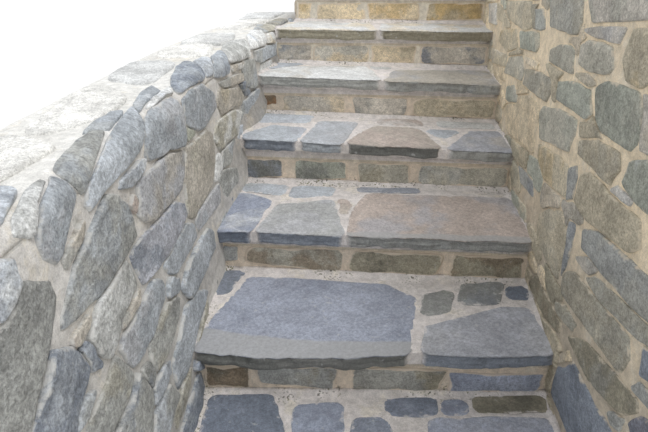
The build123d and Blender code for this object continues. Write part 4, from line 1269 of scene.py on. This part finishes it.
def laySlab(shell, flag, look, looks, random, seed, rivals=(), nosing=None, strip=None):
    # Rows of the grid: rings over the top, q of the way to the outline o(s), then the edge going
    # down by depth d with the outline moved out by layers(s, d) - chips(s, d), and the underside.
    outline, height, slope = flag
    outline = evenOutline(outline, look["spacing"])
    middle = outline.mean(0)
    tangent = np.roll(outline, -1, 0) - np.roll(outline, 1, 0)
    outward = np.stack([tangent[:, 1], -tangent[:, 0]], -1)
    outward /= np.linalg.norm(outward, axis=1, keepdims=True)
    front = stepUp(0.2, 0.8, -outward[:, 1])
    if nosing:
        # An edge near the nosing is brought on to its line, and the others spread into their joints
        ahead = nosing(outline[:, 0]) - outline[:, 1]
        front = front * stepUp(*look["nosingReach"], ahead)
        gap = np.min([outside(other, outline) for other in rivals], axis=0)
        spread = np.minimum(look["spread"] * np.maximum(gap, 0), look["mostSpread"])
        outline = outline + outward * (spread * (1 - front))[:, None]
        outline[:, 1] += np.clip(nosing(outline[:, 0]) - outline[:, 1], *look["nosingShift"]) * front
    spot = np.concatenate([outline, np.full((len(outline), 1), seed * 0.37)], -1)
    broken = 0.5 * front * roughNoise(spot, look["nosingCell"], seed + 9, 2)
    wander = look["wander"] * (roughNoise(spot, look["wanderCell"], seed, 3) + broken)
    edgeLine = outline + outward * wander[:, None]
    rings = np.array(look["rings"])[:, None, None]
    top = middle + rings * (edgeLine - middle)
    toEdge = (1 - rings[..., 0]) * np.hypot(*(edgeLine - middle).T)
    spots = np.concatenate([top, np.full(top.shape[:2] + (1,), seed * 0.37)], -1)
    steps = 0.6 * np.round(2 * roughNoise(spots, look["stepCell"], seed + 2, 2)) / 2
    relief = look["topRelief"] * (roughNoise(spots, look["reliefCell"], seed + 1, 4) + steps)
    arris = look["sideArris"] + (look["arris"] - look["sideArris"]) * front
    drop = arris - np.sqrt(np.maximum(arris ** 2 - np.maximum(arris - toEdge, 0) ** 2, 0))
    topZ = relief - drop
    depths = np.array(look["depths"])[:, None] * np.ones(len(outline))
    down = np.concatenate([np.broadcast_to(edgeLine, depths.shape + (2,)), depths[..., None]], -1)
    broad, narrow = look["layerCells"]
    layers = latticeNoise(down / broad, 1.0, seed + 4) + 0.7 * latticeNoise(down / narrow, 1.0, seed + 5)
    lumps = roughNoise(down, look["lumpCell"], seed + 6, 2)
    chips = look["chip"] * stepUp(0.25, 0.7, roughNoise(down / (1, 1, 2.0), look["chipCell"], seed + 7, 2))
    amount = look["riven"] * (0.25 + 0.75 * front)
    out = amount * (0.6 * layers + 0.5 * lumps) - chips * (0.2 + 0.8 * front) - 0.002
    fade = stepUp(0.0, 0.006, depths)
    corner = np.maximum(look["arris"] - (look["thickness"] - depths), 0)
    sides = edgeLine + outward * (out * fade - 0.6 * corner)[..., None]
    bottom = middle + np.array(look["underside"])[:, None, None] * (edgeLine - middle)
    plan = np.concatenate([top, sides, bottom])
    deeper = 1 + look["hang"] * front * roughNoise(spot, look["hangCell"], seed + 8, 3)
    sag = [topZ, relief[-1] * 0.5 - depths * deeper, np.full((2, 1), -look["thickness"]) * deeper]
    sag = np.concatenate(sag)
    grid = np.concatenate([plan, (height + slope * plan[..., 0] + sag)[..., None]], -1)
    # edge, the front edge's tone, is dark partly for its riven stone and partly as painted shade
    tone, patch, edge = (linear(name) for name in looks)
    if nosing:
        edge = edge * front[:, None] + linear("treadMortar") / look["gain"] * (1 - front[:, None])
    shade = look["gain"] * (1 + random.normal(0, 0.03))
    undersideOnes = np.ones((2, len(outline)))
    side = np.concatenate([np.zeros(top.shape[:2]), stepUp(0.0, 0.003, depths), undersideOnes])[..., None]
    turn = random.uniform(0, 6)
    local = grid - np.append(middle, height)
    bedding = np.stack([local[..., 0] * math.cos(turn) - local[..., 1] * math.sin(turn),
                        local[..., 0] * math.sin(turn) + local[..., 1] * math.cos(turn), local[..., 2]], -1)
    worn = (1 - 0.6 * front) * np.ones(toEdge.shape)
    rim = [stepUp(look["rimWidth"], 0.0, toEdge) * worn, np.full(depths.shape, 0.25), undersideOnes]
    rim = np.concatenate(rim)
    inStrip = np.full(grid.shape[:2], -1.0)
    if strip:
        # Distance in front of a line that lies strip[0] behind the nosing at the left end and strip[1]
        # behind it at the right
        across = (grid[..., 0] - outline[:, 0].min()) / np.ptp(outline[:, 0])
        stripLine = nosing(grid[..., 0]) + strip[0] + (strip[1] - strip[0]) * across
        inStrip = stripLine - grid[..., 1] - 2 * side[..., 0]
    shell.addRound(grid, {
        "tone": (tone * (1 - side) + edge * side) * shade,
        "patch": (patch * (1 - side) + edge * side) * shade,
        "bedding": bedding + random.uniform(0, 20, 3), "rim": rim, "strip": inStrip,
    })


def nosingLine(step, outline, bulge):
    # y of the nosing at x: the riser's line less the overhang, and a flag's bulge, highest in its middle
    left, wide = outline[:, 0].min(), np.ptp(outline[:, 0])

    def line(x):
        swell = bulge * np.sin(math.pi * np.clip((x - left) / wide, 0, 1))
        return riserY(step, x) - flags["overhang"] - swell
    return line


flagRandom = np.random.default_rng(31)
flagOutlines = {}
for step in range(1, stepCount + 1):
    leftLook, rightLook, smallLooks = flags["tones"][step]
    parts = {"left_slab": [leftLook], "right_slab": [rightLook], "small_stones": smallLooks}
    laid = {part: [flagOutline(*solid) for solid in solidsOf(f"tread_{step}_{part}")] for part in parts}
    outlines = [flag[0] for part in parts for flag in laid[part]]
    flagOutlines[step] = outlines
    for part, looks in parts.items():
        node = f"tread_{step}_{part}"
        shell = Shell()
        for index, flag in enumerate(laid[part]):
            rivals = [other for other in outlines if other is not flag[0]]
            line = nosingLine(step, flag[0], flags["bulge"].get(node, 0))
            seed = 40 * step + 7 * index + len(part)
            laySlab(shell, flag, flags, looks[index % len(looks)], flagRandom, seed, rivals, line,
                    flags["strips"].get(node))
        name = f"tread{step}" + "".join(word.title() for word in part.split("_"))
        shell.finish(name, flagStone, "flagstone", [node])
print("flags laid, triangles so far", made["triangles"])


# The right wall's capping stones, rough slabs with worn edges

caps = {
    **flags, "spacing": 0.016, "arris": 0.016, "sideArris": 0.016, "riven": 0.008, "wander": 0.016,
    "chip": 0.02, "topRelief": 0.007, "hang": 0.0,
    "depthShares": (0.03, 0.1, 0.2, 0.35, 0.5, 0.65, 0.8, 0.92, 0.99),
    "tones": [("khaki", "oliveGrey", "khaki"), ("oliveGrey", "grey", "greenGrey"), ("tan", "khaki", "tan")],
}
capRandom = np.random.default_rng(41)
shell = Shell()
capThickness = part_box("right_wall_capstones")[1].z - rightHeight
capDepths = tuple(capThickness * share for share in caps["depthShares"])
capLook = {**caps, "thickness": capThickness, "depths": capDepths}
for index, solid in enumerate(solidsOf("right_wall_capstones")):
    looks = caps["tones"][index % len(caps["tones"])]
    laySlab(shell, flagOutline(*solid), capLook, looks, capRandom, 900 + 11 * index)
shell.finish("rightWallCappingStones", capStone, "capping_stone", ["right_wall_capstones"])
print("capping stones laid")


# Risers and the joints of the treads

risers = {
    **leftFace, "joint": 0.020, "spill": 0.006, "corner": 0.010, "stand": (0.003, 0.008), "lean": 0.0015,
    "crown": 0.0015, "facet": 0.005, "noise": 0.0035, "noiseCell": 0.05, "edge": 0.005, "rimWidth": 0.03,
    "wobble": 0.02, "least": 0.0025, "gain": 1.5, "paler": 0.0,
    # for each riser, its stones: x of the left and right side from the middle of the flight, height of the
    # foot and the top, tone and patch. The tones grow lighter and warmer up the flight, partly for the stones
    # themselves and partly as painted light, since more sky and warm reflected sun reach the upper risers.
    "stones": {
        1: [(-0.47, -0.24, 0.02, 0.12, "grey", "slate"),
            (-0.20, 0.10, 0.02, 0.12, "oliveGrey", "olive"),
            (0.13, 0.30, 0.02, 0.115, "slate", "darkBlue"),
            (0.33, 0.56, 0.02, 0.12, "olive", "bark")],
        2: [(-0.497, -0.358, 0.196, 0.262, "brown", "bark"),
            (-0.332, -0.08, 0.187, 0.262, "grey", "olive"),
            (-0.045, 0.224, 0.178, 0.262, "olive", "grey"),
            (0.259, 0.546, 0.178, 0.257, "flagBlue", "flagPale")],
        3: [(-0.554, -0.48, 0.386, 0.46, "grey", "slate"),
            (-0.454, -0.106, 0.36, 0.46, "oliveGrey", "brown"),
            (-0.08, 0.259, 0.342, 0.446, "olive", "bark"),
            (0.294, 0.55, 0.355, 0.446, "olive", "brown")],
        4: [(-0.554, -0.402, 0.524, 0.646, "darkGrey", "slate"),
            (-0.35, -0.128, 0.533, 0.646, "greenGrey", "darkGrey"),
            (-0.063, 0.137, 0.516, 0.637, "oliveGrey", "olive"),
            (0.194, 0.563, 0.507, 0.629, "oliveGrey", "grey")],
        5: [(-0.55, -0.476, 0.736, 0.823, "brown", "rust"),
            (-0.441, -0.145, 0.719, 0.823, "warmGrey", "tan"),
            (-0.102, 0.137, 0.684, 0.823, "warmGrey", "darkGrey"),
            (0.172, 0.58, 0.684, 0.815, "khaki", "tan")],
        6: [(-0.506, -0.35, 0.895, 1.0, "warmGrey", "slate"),
            (-0.319, -0.054, 0.886, 1.008, "tan", "grey"),
            (-0.041, 0.185, 0.877, 0.99, "tan", "khaki"),
            (0.229, 0.563, 0.868, 0.973, "warmGrey", "darkBlue")],
        7: [(-0.45, -0.36, 1.05, 1.15, "paleTan", "ochre"),
            (-0.34, -0.076, 1.05, 1.15, "paleTan", "tan"),
            (-0.054, 0.207, 1.06, 1.15, "tan", "ochre"),
            (0.246, 0.577, 1.055, 1.15, "ochre", "khaki")],
    },
    "mortar": {"lift": 0.0015, "lump": 0.0022, "lumpCell": 0.04, "tone": "riserMortar"},
    # the mortar of the upper risers is painted paler as painted light
    "paintedLightFrom": 6,      # from this step up the mortar is paler
    "spacing": 0.009, "slack": 0.001, "columns": 72, "rings": 10,
}


def riserStones(step, toFace, random):
    # Four-sided outlines of a riser's stones, their corners a little out of square
    stones = []
    for left, right, foot, head, tone, patch in risers["stones"][step]:
        corners = np.array([(left, foot), (right, foot), (right, head), (left, head)]) + (toFace, 0)
        stones.append(makeStone(corners + random.normal(0, risers["corner"], (4, 2)), tone, patch, True))
    return stones


riserShell, jointShell = Shell(), Shell()
riserRandom = np.random.default_rng(51)
for step, (start, along, low, high) in riserLines.items():
    length = np.hypot(*along)
    alongX, alongY = along[0] / length, along[1] / length
    face = flatFace((start[0], start[1], 0), (alongX, alongY, 0), (alongY, -alongX, 0))
    rows = riserStones(step, middleX - start[0], riserRandom)
    leftEnd = leftInnerX(start[1], (low + high) / 2) if step < stepCount else start[0]
    reachLow, reachHigh = leftEnd - start[0], rightLow.x - start[0]
    base = low if step == 1 else treadPlanes[step - 1][0] + treadPlanes[step - 1][1] * middleX - 0.004
    limits = [((0, 1), high), ((0, -1), -base), ((-1, 0), -reachLow), ((1, 0), reachHigh)]
    fitted = fitOutlines(rows, limits, risers, risers["columns"])
    dressFace(riserShell, list(zip(rows, fitted)), face, risers, 60 + step, risers["rings"])
    spread = {**risers["mortar"], "dirt": lambda u, v: stepUp(0.05, 0.01, v - base)}
    # From this step up the riser mortar is painted cream as painted light, stronger near the top of the
    # flight
    if step >= risers["paintedLightFrom"]:
        spread["tone"] = "cream"
    mortarSheet(jointShell, face, reachHigh - reachLow, high - low, risers["spacing"], spread, 80 + step,
                (reachLow, low), risers["slack"])
riserShell.finish("riserStones", riserStone, "riser_stone")
jointShell.finish("riserMortar", mortar, "bedding_mortar")

treadJoints = {
    "columns": 96, "rows": 40, "lumpCell": 0.05, "thickness": 0.036,
    "front": 0.012,                             # how far it reaches in front of the riser below
    "backInset": 0.005, "cheekInset": 0.004,    # at the landing's back and open side
    "run": 0.42,                                # going over which the left wall's face is followed
    "edgeDrop": 0.010, "edgeWidth": 0.012,
    "backFillet": (0.016, 0.03), "sideFillet": (0.012, 0.025),      # height and width
    "filletEnd": -0.02, "dip": (-0.004, 0.008),     # where both fade, measured into a flag's outline
    "backDirt": (0.09, 0.02), "sideDirt": (0.07, 0.02), "sideShare": 0.8, "leastDirt": 0.25,
}


def layTreadMortar(shell, step, height, slope):
    # A sheet from the nosing to the next riser and from wall to wall. It dips under the flags and
    # climbs as a fillet at the riser behind and at the walls.
    look, landing = treadJoints, step == stepCount
    across, behind = np.meshgrid(np.linspace(0, 1, look["columns"]), np.linspace(0, 1, look["rows"]))
    zMiddle = height + slope * middleX
    if landing:
        leftX = np.full(behind.shape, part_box("landing_cheek")[0].x + look["cheekInset"])
    else:
        leftX = leftInnerX(riserY(step, middleX) + behind * look["run"], zMiddle)
    x = leftX + across * (rightLow.x - leftX)
    backY = np.full(x.shape, rightHigh.y - look["backInset"]) if landing else riserY(step + 1, x)
    frontLine = riserY(step, x) - look["front"]
    y = frontLine + behind * (backY - frontLine)
    spot = np.stack([x, y, np.full(x.shape, step * 0.7)], -1)
    level = flags["mortarLump"] * roughNoise(spot, look["lumpCell"], 300 + step, 4) - flags["mortarRecess"]
    fromBack, fromSide = backY - y, np.minimum(x - leftX, rightLow.x - x)
    flagRims = [outside(outline, np.stack([x, y], -1)) for outline in flagOutlines[step]]
    within = -np.min(flagRims, axis=0)
    fillet = look["backFillet"][0] * stepUp(look["backFillet"][1], 0.0, fromBack) * (not landing)
    fillet = np.maximum(fillet, look["sideFillet"][0] * stepUp(look["sideFillet"][1], 0.0, fromSide))
    level = level + fillet * stepUp(0.0, look["filletEnd"], within)
    level = level - look["edgeDrop"] * stepUp(look["edgeWidth"], 0.0, y - y.min(0))
    level = level - flags["underFlags"] * stepUp(*look["dip"], within)
    grid = np.stack([x, y, height + slope * x + level], -1)
    dirt = np.maximum(stepUp(*look["backDirt"], fromBack) * (not landing), look["leastDirt"])
    dirt = np.maximum(dirt, look["sideShare"] * stepUp(*look["sideDirt"], fromSide))
    tone = np.broadcast_to(linear("treadMortar"), grid.shape)
    shell.addSheet(grid, np.array([0, 0, -look["thickness"]]), {"tone": tone, "dirt": dirt})


treadShell = Shell()
for step, (height, slope) in treadPlanes.items():
    layTreadMortar(treadShell, step, height, slope)
treadShell.finish("treadMortar", mortar, "bedding_mortar")
print("risers and joints made")

# Light: a pale even sky and one soft lamp from above, which together light a level surface about fully

light = {"sky": 1.0, "skyColour": (0.97, 0.98, 1.0, 1), "lamp": 1.2, "lampSize": 30, "lampTurn": (14, 24, 0)}
floorLook = {"size": 14.0, "colour": (0.84, 0.84, 0.83, 1), "roughness": 0.9}
world = bpy.data.worlds.new("sky")
scene.world = world
world.use_nodes = True
background = world.node_tree.nodes["Background"]
background.inputs["Color"].default_value = light["skyColour"]
background.inputs["Strength"].default_value = light["sky"]
lampData = bpy.data.lights.new("soft lamp", "SUN")
lampData.energy = light["lamp"]
lampData.angle = math.radians(light["lampSize"])
lamp = bpy.data.objects.new("soft lamp", lampData)
lamp.rotation_euler = [math.radians(value) for value in light["lampTurn"]]
scene.collection.objects.link(lamp)

floorMesh = bpy.data.meshes.new("floor")
corners = [(x * floorLook["size"], y * floorLook["size"], 0) for x, y in ((-1, -1), (1, -1), (1, 1), (-1, 1))]
floorMesh.from_pydata(corners, [], [(0, 1, 2, 3)])
floorMaterial, floorNodes, _ = startMaterial("pale floor")
floorNodes["Principled BSDF"].inputs["Base Color"].default_value = floorLook["colour"]
floorNodes["Principled BSDF"].inputs["Roughness"].default_value = floorLook["roughness"]
floorMesh.materials.append(floorMaterial)
floor = bpy.data.objects.new("floor", floorMesh)
scene.collection.objects.link(floor)

scene.view_settings.view_transform = "Standard"
print("pieces", made["pieces"], "triangles", made["triangles"], "largest", made["largest"])
